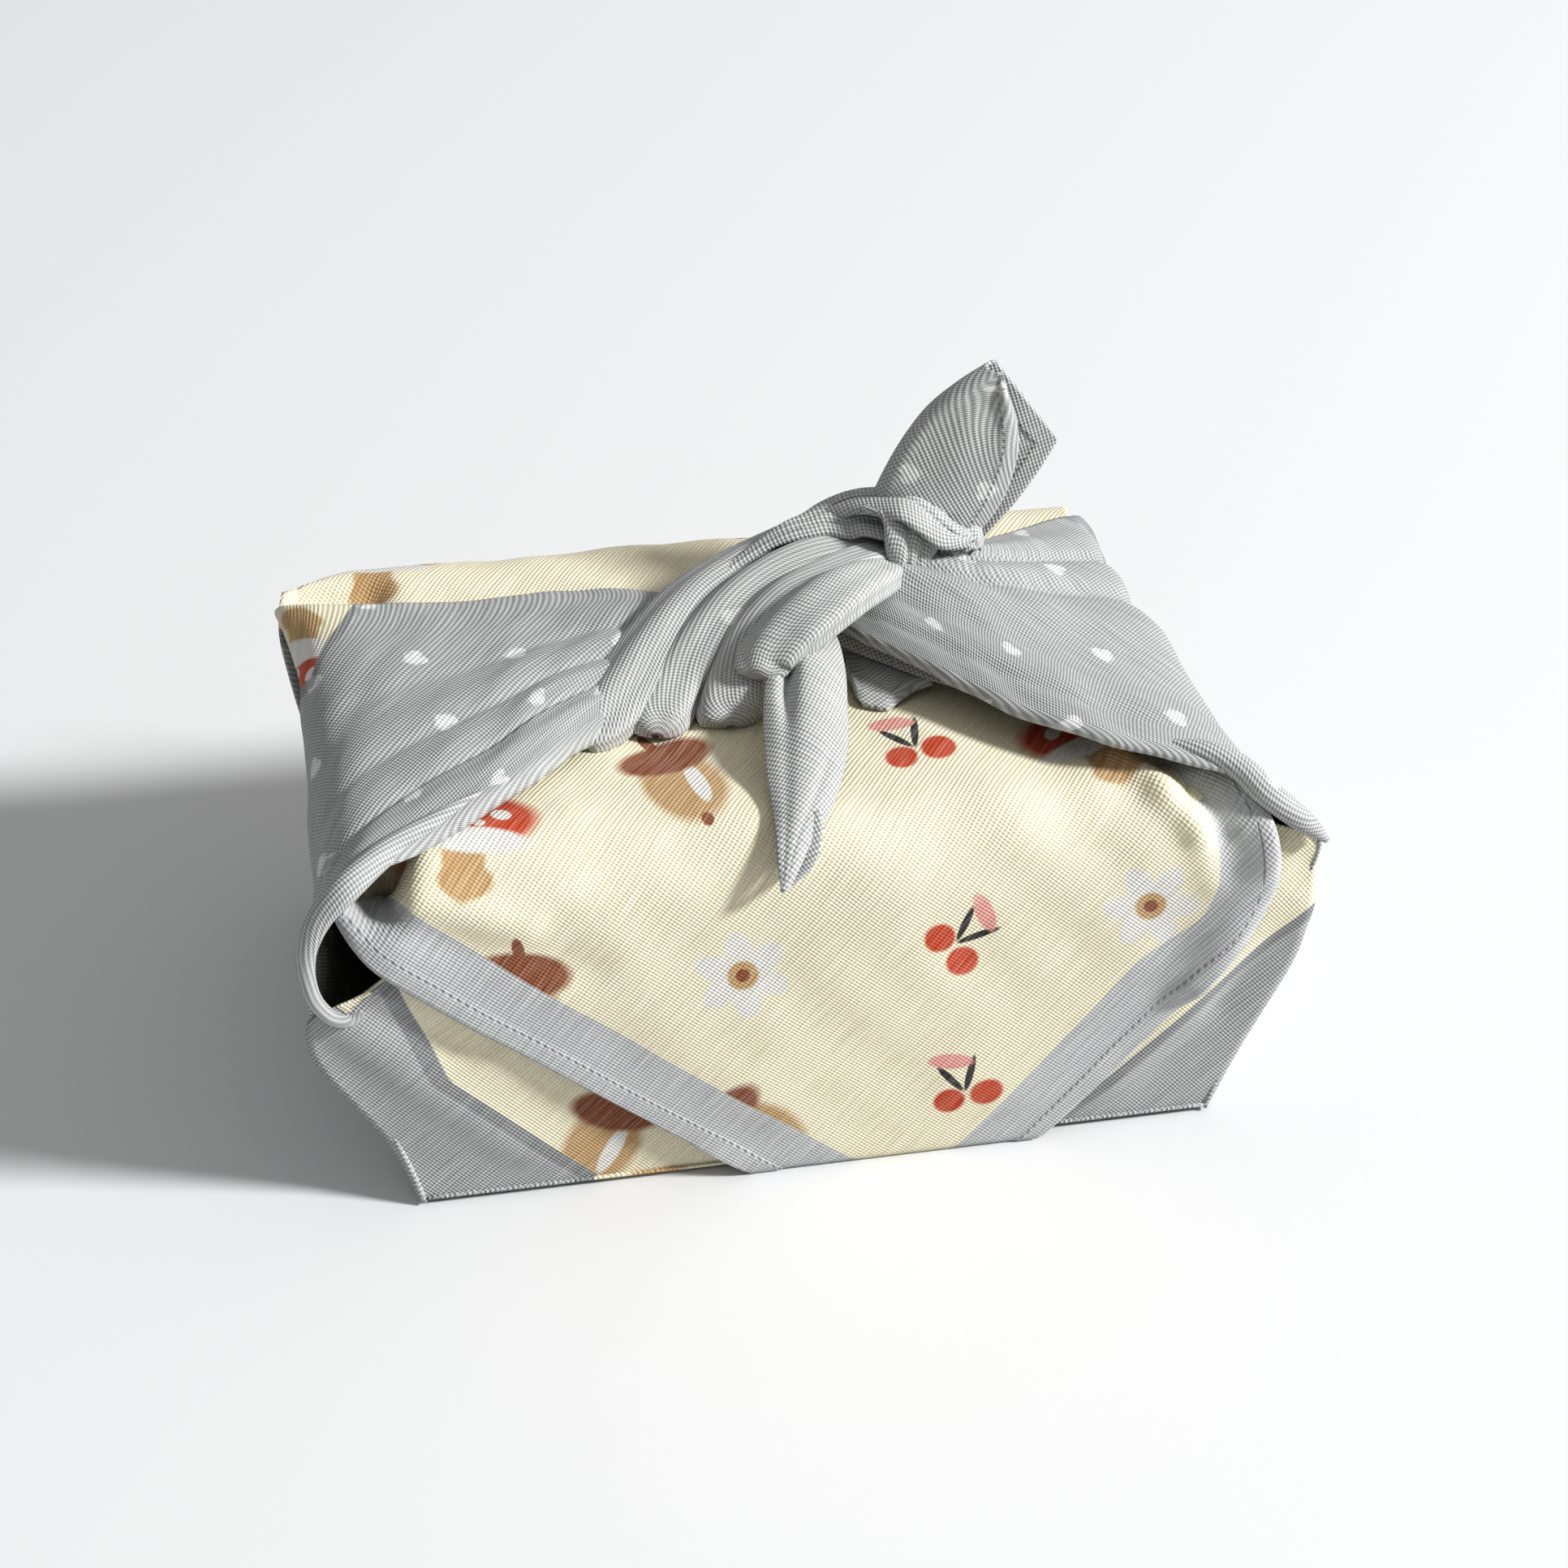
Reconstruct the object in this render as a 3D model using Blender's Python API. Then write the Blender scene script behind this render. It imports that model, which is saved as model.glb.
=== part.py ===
"""Furoshiki wrap: one square cotton cloth folded round a lunch box and tied on top.

The cloth is one solid. Its parts are sheets and gathered strands that a Boolean
joins: the near panel under everything, the far panel that comes over the top and
ends in the pointed front flap, a wing on each side, and the knot with its two tails.
X runs along the long side, the flap faces -Y and +Z is up. Sizes are in metres.
"""

import math

import bmesh
import bpy
import numpy as np

MM = 0.001
SLIVER = 0.002 * MM

# Driving sizes of the wrapped box, in millimetres
BOX_WIDTH = 170.0
BOX_DEPTH = 105.0
BOX_HEIGHT = 85.0

# The cloth, in millimetres
CLOTH = 1.6
LAYER_GAP = 0.6
BASE_THICK = 2.4
EDGE_ROUND = 9.0

# The flap's tip, tucked flat under the box
TUCK_THICK = 1.1
TUCK_ROOM = 0.4
TUCK_MARGIN = 1.5
TUCK_LENGTH = 34.0
TUCK_TIP_X = 21.0
TUCK_TIP_WIDTH = 1.0

HALF_W = BOX_WIDTH / 2
HALF_D = BOX_DEPTH / 2
LAYER = CLOTH + LAYER_GAP
INNER_FACE = HALF_D + CLOTH / 2
OUTER_FACE = INNER_FACE + LAYER
INNER_TOP = BOX_HEIGHT + CLOTH / 2
OUTER_TOP = INNER_TOP + LAYER

# Where the two hems of the front flap meet the bottom edge, and how they rise
HEM_LEFT = -16.0
HEM_RIGHT = 48.0
HEM_LEFT_RUN = 1.12
HEM_RIGHT_RUN = 0.77
FLAP_MOST = 91.0
FLAP_HEIGHTS = (68.0, 60.0, 48.0, 36.0, 24.0, 12.0, 2.0)

# The far panel's top edge at the back stands off a little, and on top its sides turn
# down where they pass the box
BACK_SWELL = 2.0
BACK_LEFT = -94.0
BACK_LEFT_IN = 3.0
BACK_RIGHT = 81.0
DROP_FROM = 80.0
DROP_LEAN = 0.2

# Rows of the near panel, going up its front and then over the box's top
NEAR_PANEL = (
    # y, z, left x, right x
    (-INNER_FACE, 1.0, -86.0, 86.0),
    (-INNER_FACE - 0.8, 22.0, -92.0, 91.0),
    (-INNER_FACE - 1.6, 46.0, -102.5, 98.5),
    (-INNER_FACE - 1.6, 62.0, -106.0, 103.0),
    (-INNER_FACE - 0.6, 72.0, -101.0, 102.0),
    (-INNER_FACE + 1.0, 80.0, -86.0, 88.0),
    (-INNER_FACE + 7.0, INNER_TOP, -83.0, 83.0),
    (-20.0, INNER_TOP, -82.0, 80.0),
    (16.0, INNER_TOP, -82.0, 76.0),
    (44.0, INNER_TOP, -60.0, 56.0),
)

# Rows of the far panel up the back, before it turns over the top
FAR_PANEL_BACK = (
    # y, z, left x, right x
    (INNER_FACE, 1.0, -86.0, 86.0),
    (INNER_FACE + 0.8, 22.0, -90.5, 88.5),
    (INNER_FACE + 1.6, 48.0, -95.5, 89.5),
    (INNER_FACE + 2.0, 68.0, -98.0, 85.5),
)

# Rows of the far panel over the top, from the back to the front
FAR_PANEL_TOP = (
    # y, z, left x, right x
    (24.0, OUTER_TOP, -91.0, 82.0),
    (0.0, OUTER_TOP, -91.0, 85.0),
    (-24.0, OUTER_TOP, -91.0, 90.0),
)

# Rows of a wing from the ground to the knot: its front fold, its back fold, how far
# its middle sinks towards the box (minus is a crown) and the depth of its pleats
LEFT_WING = (
    # front x, y, z, back x, y, z, sink, pleat
    (-85.5, -53.0, 1.0, -85.5, 53.0, 1.0, 0.0, 0.0),
    (-91.5, -55.0, 22.0, -90.0, 54.0, 22.0, 3.0, 0.0),
    (-102.0, -56.0, 46.0, -95.0, 54.5, 48.0, 7.0, 0.0),
    (-106.0, -56.5, 62.0, -99.0, 53.0, 68.0, 8.0, 0.0),
    (-102.0, -56.0, 78.0, -100.5, 46.0, 83.0, 4.0, 0.2),
    (-90.0, -53.0, 90.0, -92.0, 40.0, 92.0, 0.0, 0.5),
    (-74.0, -43.0, 94.0, -72.0, 37.0, 93.0, 0.0, 0.9),
    (-59.0, -32.0, 96.0, -50.0, 35.0, 94.0, -1.0, 1.3),
    (-45.0, -18.0, 96.0, -30.0, 29.0, 96.0, -3.0, 1.6),
    (-32.0, -9.0, 96.0, -14.0, 20.0, 99.0, -3.0, 1.2),
    (-16.0, -4.0, 98.0, 0.0, 14.0, 102.0, -1.0, 0.3),
)
RIGHT_WING = (
    # front x, y, z, back x, y, z, sink, pleat
    (85.5, -53.0, 1.0, 85.5, 53.0, 1.0, 0.0, 0.0),
    (90.5, -55.0, 22.0, 88.0, 54.0, 22.0, 3.0, 0.0),
    (98.0, -56.0, 46.0, 89.0, 54.5, 48.0, 6.0, 0.0),
    (102.5, -56.5, 64.0, 86.0, 53.0, 68.0, 6.0, 0.0),
    (103.5, -56.0, 77.0, 80.0, 50.0, 83.0, 5.0, 0.3),
    (96.0, -54.0, 87.0, 74.0, 47.0, 91.0, 1.5, 0.6),
    (79.0, -50.0, 93.5, 69.0, 45.0, 93.5, -0.5, 0.9),
    (60.0, -43.0, 95.5, 61.0, 41.0, 95.0, -2.0, 1.3),
    (44.0, -28.0, 96.5, 54.0, 32.0, 98.0, -4.0, 1.6),
    (31.0, -12.0, 98.0, 45.0, 21.0, 102.0, -4.0, 1.2),
    (19.0, 0.0, 100.0, 34.0, 14.0, 105.0, -2.0, 0.3),
)
WING_PLEATS = 3.0

# Gathered strands of the knot: the line each follows, and its half width and half
# thickness there
BAND = (
    # x, y, z, half width, half thickness
    (-41.0, -7.0, 92.5, 5.0, 3.0),
    (-34.0, -4.5, 96.0, 10.0, 5.5),
    (-22.5, -0.5, 99.0, 14.0, 8.0),
    (-10.5, 4.0, 102.5, 15.0, 9.0),
    (1.0, 7.5, 106.5, 13.0, 9.0),
    (12.0, 10.5, 109.0, 10.0, 8.0),
    (22.0, 12.0, 109.0, 8.0, 6.5),
    (32.0, 12.5, 106.0, 7.0, 5.0),
)
FRONT_STRAND = (
    # x, y, z, half width, half thickness
    (30.0, 7.0, 106.0, 4.5, 4.0),
    (22.0, 4.5, 109.0, 5.5, 4.5),
    (13.5, 0.5, 109.5, 6.5, 5.0),
    (4.5, -4.0, 107.5, 7.0, 5.0),
    (-2.5, -9.0, 104.0, 7.0, 4.5),
    (-5.0, -16.0, 100.0, 6.5, 4.0),
    (-4.5, -22.0, 97.0, 5.5, 3.0),
)
SHORT_LOOP = (
    # x, y, z, half width, half thickness
    (19.0, 20.0, 112.0, 4.0, 3.0),
    (21.5, 13.5, 118.0, 5.5, 3.5),
    (24.0, 6.0, 117.5, 6.0, 3.5),
    (26.5, 0.5, 112.0, 6.0, 3.5),
    (27.5, 1.0, 105.0, 5.0, 3.5),
    (28.0, 5.0, 100.0, 4.0, 3.0),
)
TOP_CROSSING = (
    # x, y, z, half width, half thickness
    (6.0, 20.0, 106.0, 4.0, 3.5),
    (12.5, 23.0, 112.0, 6.0, 4.0),
    (22.0, 22.0, 116.0, 6.5, 4.5),
    (32.0, 18.0, 116.5, 6.5, 4.5),
    (39.5, 13.5, 112.5, 6.0, 4.5),
    (43.5, 10.0, 106.0, 5.0, 4.0),
    (42.0, 7.0, 100.5, 4.0, 3.5),
)
STRAND_SIDES = 18
STRAND_PLEATS = 6
PLEAT_DEPTH = 0.08

# The front tail: a cupped leaf, its middle line, half width, cup and thickness
FRONT_TAIL = (
    # x, y, z, half width, cup, thickness
    (1.0, -6.0, 103.0, 7.5, 2.5, 3.2),
    (2.0, -14.0, 101.5, 8.0, 3.5, 3.2),
    (1.5, -21.0, 99.5, 8.3, 4.0, 3.2),
    (0.0, -31.0, 96.5, 8.4, 4.5, 3.2),
    (-2.0, -40.0, 93.5, 7.2, 4.0, 3.2),
    (-4.5, -49.0, 90.5, 5.4, 2.5, 2.8),
    (-6.7, -57.0, 86.0, 3.6, 1.0, 2.0),
    (-9.2, -61.0, 81.5, 2.0, 0.2, 1.4),
)

# The back tail: a corner of the cloth folded over along its left side, so that a
# rear hem, the fold and a front hem run up from the knot
BACK_TAIL = (
    # rear x, z, fold x, z, front x, z
    (44.0, 107.0, 21.5, 117.0, 41.0, 111.0),
    (49.0, 110.0, 24.0, 124.5, 46.0, 115.0),
    (54.0, 115.0, 28.5, 133.0, 50.0, 121.5),
    (58.0, 120.5, 34.0, 140.5, 52.0, 129.0),
    (61.0, 125.5, 40.5, 145.8, 51.5, 137.0),
    (63.0, 128.8, 46.0, 149.0, 50.0, 144.0),
)
BACK_TAIL_Y = 18.0
BACK_TAIL_APART = 2.6

# Steps of the grids
PANEL_ACROSS = 12
STEPS_NEAR = 18
STEPS_FAR = 38
STEPS_WING = 24
WING_ACROSS = 17
STEPS_STRAND = 18
STEPS_TAIL = 12
TAIL_ACROSS = 8

GREY = (0.50, 0.53, 0.56, 1.0)


def clear_scene():
    """Removes what the startup scene holds."""
    for thing in list(bpy.data.objects):
        bpy.data.objects.remove(thing, do_unlink=True)


def cloth_material():
    """Plain woven cotton in the wings' grey."""
    material = bpy.data.materials.new("cotton")
    material.use_nodes = True
    shader = material.node_tree.nodes["Principled BSDF"]
    shader.inputs["Base Color"].default_value = GREY
    shader.inputs["Roughness"].default_value = 0.85
    return material


def smooth_rows(rows, count):
    """The table's rows joined by a Catmull-Rom curve, read at count even places."""
    rows = np.asarray(rows, float)
    ends = np.vstack([2 * rows[0] - rows[1], rows, 2 * rows[-1] - rows[-2]])
    at = np.linspace(0, len(rows) - 1, count)
    first = np.minimum(at.astype(int), len(rows) - 2)
    t = (at - first)[:, None]
    a, b, c, d = (ends[first + k] for k in range(4))
    return 0.5 * (
        2 * b
        + (c - a) * t
        + (2 * a - 5 * b + 4 * c - d) * t**2
        + (3 * b - a - 3 * c + d) * t**3
    )


def unit(vectors):
    """Each vector at length one."""
    return vectors / np.maximum(np.linalg.norm(vectors, axis=-1, keepdims=True), 1e-9)


def mesh_object(name, points, faces):
    """An object of these points, given in millimetres."""
    mesh = bpy.data.meshes.new(name)
    mesh.from_pydata((points * MM).tolist(), [], faces)
    build = bmesh.new()
    build.from_mesh(mesh)
    bmesh.ops.recalc_face_normals(build, faces=build.faces)
    build.to_mesh(mesh)
    build.free()
    made = bpy.data.objects.new(name, mesh)
    bpy.context.scene.collection.objects.link(made)
    return made


def sheet_solid(name, grid, thickness):
    """A closed sheet: the grid's middle surface moved half the thickness each way."""
    rows, columns = grid.shape[:2]
    normal = unit(np.cross(np.gradient(grid, axis=0), np.gradient(grid, axis=1)))
    half = normal * thickness / 2
    points = np.concatenate([(grid + half).reshape(-1, 3), (grid - half).reshape(-1, 3)])
    index = np.arange(rows * columns).reshape(rows, columns)
    under = rows * columns
    quads = np.stack(
        [index[:-1, :-1], index[1:, :-1], index[1:, 1:], index[:-1, 1:]], axis=-1
    ).reshape(-1, 4)
    faces = quads.tolist() + (quads[:, ::-1] + under).tolist()
    rim = np.concatenate(
        [index[0, :], index[1:, -1], index[-1, -2::-1], index[-2:0:-1, 0]]
    )
    for here, there in zip(rim, np.roll(rim, -1)):
        faces.append([int(here), int(there), int(there + under), int(here + under)])
    return mesh_object(name, points, faces)


def panel_grid(rows, count, drop_past=None):
    """A panel of level rows: every row runs across in X at its own y and z.

    On the box's top, the cloth past drop_past from the middle turns down its side.
    """
    table = smooth_rows(rows, count)
    across = np.linspace(0, 1, PANEL_ACROSS)
    x = table[:, 2:3] + (table[:, 3:4] - table[:, 2:3]) * across
    y = np.repeat(table[:, 0:1], PANEL_ACROSS, axis=1)
    z = np.repeat(table[:, 1:2], PANEL_ACROSS, axis=1)
    if drop_past is not None:
        on_top = np.clip((z - DROP_FROM) / (OUTER_TOP - DROP_FROM), 0, 1)
        over = np.clip(np.abs(x) - drop_past, 0, None) * on_top
        x = np.sign(x) * (np.abs(x) - (1 - DROP_LEAN) * over)
        z = z - over
    return np.stack([x, y, z], axis=-1)


def near_panel():
    """The near corner's cloth: up the front and over the top, under the rest."""
    return sheet_solid("near_panel", panel_grid(NEAR_PANEL, STEPS_NEAR), CLOTH)


def flap_row(y, z):
    """One row of the front flap, as wide as its two hems are apart at that height."""
    left = max(HEM_LEFT - HEM_LEFT_RUN * z, -FLAP_MOST)
    right = min(HEM_RIGHT + HEM_RIGHT_RUN * z, FLAP_MOST)
    return (y, z, left, right)


def far_panel():
    """The far corner's cloth: up the back, over the top and down the front."""
    turns = np.linspace(0, math.pi / 2, 4)
    back_edge = [
        (
            OUTER_FACE + BACK_SWELL - EDGE_ROUND * (1 - math.cos(turn)),
            OUTER_TOP + BACK_SWELL - EDGE_ROUND * (1 - math.sin(turn)),
            BACK_LEFT + BACK_LEFT_IN * math.sin(turn),
            BACK_RIGHT,
        )
        for turn in turns
    ]
    front_edge = [
        (
            EDGE_ROUND * (1 - math.sin(turn)) - OUTER_FACE,
            OUTER_TOP - EDGE_ROUND * (1 - math.cos(turn)),
            -FLAP_MOST,
            FLAP_MOST,
        )
        for turn in turns
    ]
    front = [flap_row(-OUTER_FACE, z) for z in FLAP_HEIGHTS]
    rows = [*FAR_PANEL_BACK, *back_edge, *FAR_PANEL_TOP, *front_edge, *front]
    grid = panel_grid(rows, STEPS_FAR, drop_past=HALF_W + LAYER)
    return sheet_solid("far_panel", grid, CLOTH)


def wing(name, rows):
    """A side corner's cloth: from the ground up the side and over to the knot."""
    table = smooth_rows(rows, STEPS_WING)
    p = np.linspace(0, 1, WING_ACROSS)[None, :, None]
    front, back = table[:, None, 0:3], table[:, None, 3:6]
    chord = front + (back - front) * p
    to_box = unit(np.array([0.0, 0.0, BOX_HEIGHT / 2]) - chord * [1.0, 0.0, 1.0])
    plateau = 1 - (2 * p - 1) ** 4
    pleat = np.cos(2 * math.pi * WING_PLEATS * p) * table[:, None, 7:8]
    grid = chord + to_box * (table[:, None, 6:7] * plateau - pleat)
    if front[0, 0, 0] > 0:
        grid = grid[:, ::-1]
    return sheet_solid(name, grid, CLOTH)


def strand(name, rows):
    """A gathered strand: an oval tube along the rows' line, ridged by its pleats."""
    table = smooth_rows(rows, STEPS_STRAND)
    line = table[:, :3]
    along = unit(np.gradient(line, axis=0))
    side = unit(np.cross(along, [0.0, 0.0, 1.0]))
    above = np.cross(side, along)
    turn = np.linspace(0, 2 * math.pi, STRAND_SIDES, endpoint=False)
    ridge = 1 + PLEAT_DEPTH * np.cos(STRAND_PLEATS * turn)
    wide = (np.cos(turn) * ridge)[None, :, None] * table[:, None, 3:4]
    high = (np.sin(turn) * ridge)[None, :, None] * table[:, None, 4:5]
    points = line[:, None] + side[:, None] * wide + above[:, None] * high
    index = np.arange(STEPS_STRAND * STRAND_SIDES).reshape(STEPS_STRAND, STRAND_SIDES)
    following = np.roll(index, -1, axis=1)
    quads = np.stack([index[:-1], following[:-1], following[1:], index[1:]], axis=-1)
    faces = quads.reshape(-1, 4).tolist()
    faces += [index[0, ::-1].tolist(), index[-1].tolist()]
    return mesh_object(name, points.reshape(-1, 3), faces)


def tail(name, rows, across_way):
    """A free corner of the cloth: a cupped leaf on both sides of its middle line."""
    table = smooth_rows(rows, STEPS_TAIL)
    line = table[:, None, :3]
    along = unit(np.gradient(table[:, :3], axis=0))
    side = unit(across_way - along * (along @ across_way)[:, None])
    face = np.cross(side, along)
    p = np.linspace(-1, 1, TAIL_ACROSS)[None, :, None]
    grid = line + side[:, None] * p * table[:, None, 3:4]
    grid = grid + face[:, None] * (p**2 - 0.5) * table[:, None, 4:5]
    return sheet_solid(name, grid, table[:, None, 5:6])


def folded_tail(name, rows):
    """A folded corner: from the rear hem round the fold to the front hem."""
    table = smooth_rows(rows, STEPS_TAIL)
    rear, fold, front = table[:, None, 0:2], table[:, None, 2:4], table[:, None, 4:6]
    turn = np.linspace(-math.pi / 2, math.pi / 2, 5)[None, :, None]
    round_x = fold[..., :1] - BACK_TAIL_APART * (np.cos(turn) - 1)
    p = np.linspace(0, 1, TAIL_ACROSS // 2, endpoint=False)[None, :, None]
    start = np.concatenate([round_x[:, :1], fold[..., 1:]], axis=-1)
    behind = rear + (start - rear) * p
    before = front + (start - front) * p
    middle = np.concatenate(
        [round_x, np.repeat(fold[..., 1:], round_x.shape[1], axis=1)], axis=-1
    )
    flat = np.concatenate([behind, middle, before[:, ::-1]], axis=1)
    depth = np.concatenate(
        [
            np.full(p.shape[1], BACK_TAIL_APART),
            -BACK_TAIL_APART * np.sin(turn).ravel(),
            np.full(p.shape[1], -BACK_TAIL_APART),
        ]
    )
    y = BACK_TAIL_Y + np.repeat(depth[None, :, None], len(table), axis=0)
    grid = np.concatenate([flat[..., :1], y, flat[..., 1:]], axis=-1)
    return sheet_solid(name, grid, CLOTH)


def slab(name, outline, bottom, top):
    """A flat piece between two heights, on an outline of four corners."""
    low = [(x, y, bottom) for x, y in outline]
    high = [(x, y, top) for x, y in outline]
    faces = [[3, 2, 1, 0], [4, 5, 6, 7]]
    faces += [[k, (k + 1) % 4, (k + 1) % 4 + 4, k + 4] for k in range(4)]
    return mesh_object(name, np.array(low + high), faces)


def base():
    """The cloth under the box, flat on the ground."""
    x = HALF_W + CLOTH / 2
    y = HALF_D + CLOTH * 0.7
    return slab("furoshiki", [(-x, -y), (x, -y), (x, y), (-x, y)], 0.0, BASE_THICK)


def tucked_tip(name, margin, bottom, top):
    """The flap's tip under the box as a flat wedge, grown by a margin all round."""
    front = -OUTER_FACE - CLOTH / 2 - margin
    end = front + TUCK_LENGTH + 2 * margin
    outline = [
        (HEM_LEFT - margin, front),
        (HEM_RIGHT + margin, front),
        (TUCK_TIP_X + margin / 2, end),
        (TUCK_TIP_X - TUCK_TIP_WIDTH - margin / 2, end),
    ]
    return slab(name, outline, bottom, top)


def join(body, other, operation):
    """Joins or cuts with a Boolean, and hides the helper."""
    modifier = body.modifiers.new(other.name, "BOOLEAN")
    modifier.operation = operation
    modifier.object = other
    modifier.solver = "EXACT"
    modifier.use_self = True
    other.hide_render = True
    other.display_type = "WIRE"


def shells(build):
    """The mesh's separate shells, each a list of its vertices."""
    left = set(build.verts)
    found = []
    while left:
        reached = [left.pop()]
        for vert in reached:
            for edge in vert.link_edges:
                other = edge.other_vert(vert)
                if other in left:
                    left.remove(other)
                    reached.append(other)
        found.append(reached)
    return found


def settle(body):
    """Takes the joined mesh and fills the small pockets closed in between strands."""
    graph = bpy.context.evaluated_depsgraph_get()
    joined = bpy.data.meshes.new_from_object(body.evaluated_get(graph))
    build = bmesh.new()
    build.from_mesh(joined)
    bmesh.ops.dissolve_degenerate(build, dist=SLIVER, edges=build.edges)
    parts = sorted(shells(build), key=len)
    pockets = [vert for part in parts[:-1] for vert in part]
    bmesh.ops.delete(build, geom=pockets, context="VERTS")
    build.to_mesh(joined)
    build.free()
    body.modifiers.clear()
    body.data = joined


def main():
    """Builds the wrap and joins its parts."""
    clear_scene()
    body = base()
    body.data.materials.append(cloth_material())
    room = tucked_tip("tuck_room", TUCK_MARGIN, -1.0, TUCK_THICK + TUCK_ROOM)
    join(body, room, "DIFFERENCE")
    pieces = [
        near_panel(),
        far_panel(),
        tucked_tip("tuck", 0.0, 0.0, TUCK_THICK),
        wing("left_wing", LEFT_WING),
        wing("right_wing", RIGHT_WING),
        strand("band", BAND),
        strand("front_strand", FRONT_STRAND),
        strand("short_loop", SHORT_LOOP),
        strand("top_crossing", TOP_CROSSING),
        tail("front_tail", FRONT_TAIL, np.array([1.0, 0.1, 0.0])),
        folded_tail("back_tail", BACK_TAIL),
    ]
    for piece in pieces:
        join(body, piece, "UNION")
    settle(body)


main()
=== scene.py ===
"""Looks of the furoshiki wrap: a printed cotton cloth folded round a box and knotted.

Each part of the cloth is a class with its own sizes and tables. It works out a grid of
points in millimetres, and at each point where that bit of cloth lies on the flat cloth,
so that the print, the borders, the hems and the weave run on as on one square of cotton.
X runs along the long side, the flap faces -Y and +Z is up.
"""

import logging
import math
from abc import ABC, abstractmethod
from collections.abc import Sequence
from dataclasses import dataclass
from enum import Enum

import bpy
import numpy as np
from mathutils import Matrix, Vector
from numpy.typing import NDArray

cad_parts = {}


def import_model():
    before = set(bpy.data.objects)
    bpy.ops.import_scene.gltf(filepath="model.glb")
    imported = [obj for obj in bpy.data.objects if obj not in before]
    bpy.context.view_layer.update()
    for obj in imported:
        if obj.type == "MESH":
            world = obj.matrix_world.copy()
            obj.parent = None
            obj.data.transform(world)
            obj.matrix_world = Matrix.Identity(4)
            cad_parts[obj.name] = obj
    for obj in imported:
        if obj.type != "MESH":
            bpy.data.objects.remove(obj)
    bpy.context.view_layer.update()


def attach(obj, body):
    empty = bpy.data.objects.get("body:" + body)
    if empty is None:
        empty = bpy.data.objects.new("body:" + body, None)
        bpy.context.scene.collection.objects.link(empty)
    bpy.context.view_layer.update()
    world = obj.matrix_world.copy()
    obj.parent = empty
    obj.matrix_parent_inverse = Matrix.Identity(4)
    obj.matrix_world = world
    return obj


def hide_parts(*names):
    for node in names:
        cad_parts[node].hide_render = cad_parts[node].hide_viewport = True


LOG = logging.getLogger("furoshiki")
Array = NDArray[np.float64]
Row = tuple[float, ...]
Colour = tuple[float, float, float]
Span = tuple[float, float]
Waves = Sequence[tuple[float, float, int]]
MM = 0.001
CAD_NODE = "furoshiki"


class Hold(Enum):
    """How a part of the cloth is held."""

    FOLDED = "folded"
    GATHERED = "gathered"


@dataclass(frozen=True)
class Cloth:
    """The square cloth, in millimetres.

    Args:
        reach: half the square's diagonal.
        thick: how thick a single layer is.
        hem: how wide the turned hem is.
        hem_thick: how thick the turned hem is.
        hem_step: where the hem's thickness starts and ends to fall, from its width.
        border: how wide the plain border of a figure quarter is.
        knot_reverse_and_painted_light: how much the lighter reverse side shows in the knot; it is
            set higher than the reverse side alone gives, as painted light on the knot.
    """

    reach: float = 353.0
    thick: float = 0.7
    hem: float = 5.0
    hem_thick: float = 1.3
    hem_step: Span = (-0.6, 0.2)
    border: float = 16.0
    # partly the reverse side, partly painted light: lightens the whole knot as if the key light
    # fell on it
    knot_reverse_and_painted_light: float = 0.8


@dataclass(frozen=True)
class Box:
    """The wrapped box, in millimetres."""

    width: float = 170.0
    depth: float = 105.0
    height: float = 85.0


CLOTH = Cloth()
BOX = Box()
PLAIN = 90.0  # hem distance that keeps a gathered bit free of hearts
AWAY = 40.0  # distance that is clear of every hem and border


def smooth_rows(rows: Sequence[Row], count: int) -> Array:
    """Joins a table's rows by a Catmull-Rom curve.

    With a, b, c, d the four rows round a place and t the way from b to c, the value is
    half of 2b + (c - a)t + (2a - 5b + 4c - d)t^2 + (3b - a - 3c + d)t^3.

    Args:
        rows: the table.
        count: how many even places to read.

    Returns:
        An array of count rows.
    """
    table = np.asarray(rows, float)
    ends = np.vstack([2 * table[0] - table[1], table, 2 * table[-1] - table[-2]])
    at = np.linspace(0, len(table) - 1, count)
    first = np.minimum(at.astype(int), len(table) - 2)
    t = (at - first)[:, None]
    a, b, c, d = (ends[first + k] for k in range(4))
    return 0.5 * (
        2 * b
        + (c - a) * t
        + (2 * a - 5 * b + 4 * c - d) * t**2
        + (3 * b - a - 3 * c + d) * t**3
    )


def unit(vectors: Array) -> Array:
    """Brings vectors to length one.

    Args:
        vectors: an array whose last axis is X, Y, Z.

    Returns:
        The same directions at length one.
    """
    return vectors / np.maximum(np.linalg.norm(vectors, axis=-1, keepdims=True), 1e-9)


def run_length(points: Array, axis: int) -> Array:
    """Distance along a grid's lines, starting from zero.

    Args:
        points: grid of points, rows by columns by 3.
        axis: 0 to go down the columns, 1 to go along the rows.

    Returns:
        The running distance at each point, rows by columns.
    """
    steps = np.linalg.norm(np.diff(points, axis=axis), axis=-1)
    start = np.zeros_like(np.take(steps, [0], axis=axis))
    return np.concatenate([start, np.cumsum(steps, axis=axis)], axis=axis)


def grid_normal(points: Array) -> Array:
    """Unit normals of a grid.

    Args:
        points: grid of points, rows by columns by 3.

    Returns:
        A unit vector square to the surface at each point.
    """
    down, along = np.gradient(points, axis=0), np.gradient(points, axis=1)
    return unit(np.cross(down, along))


def step_up(value: Array, low: float, high: float) -> Array:
    """Smooth step: 0 below low, 1 above high and 3t^2 - 2t^3 between them.

    Args:
        value: where to read it.
        low: start of the step.
        high: end of the step.

    Returns:
        Values from 0 to 1.
    """
    t = np.clip((value - low) / (high - low), 0, 1)
    return t * t * (3 - 2 * t)


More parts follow.
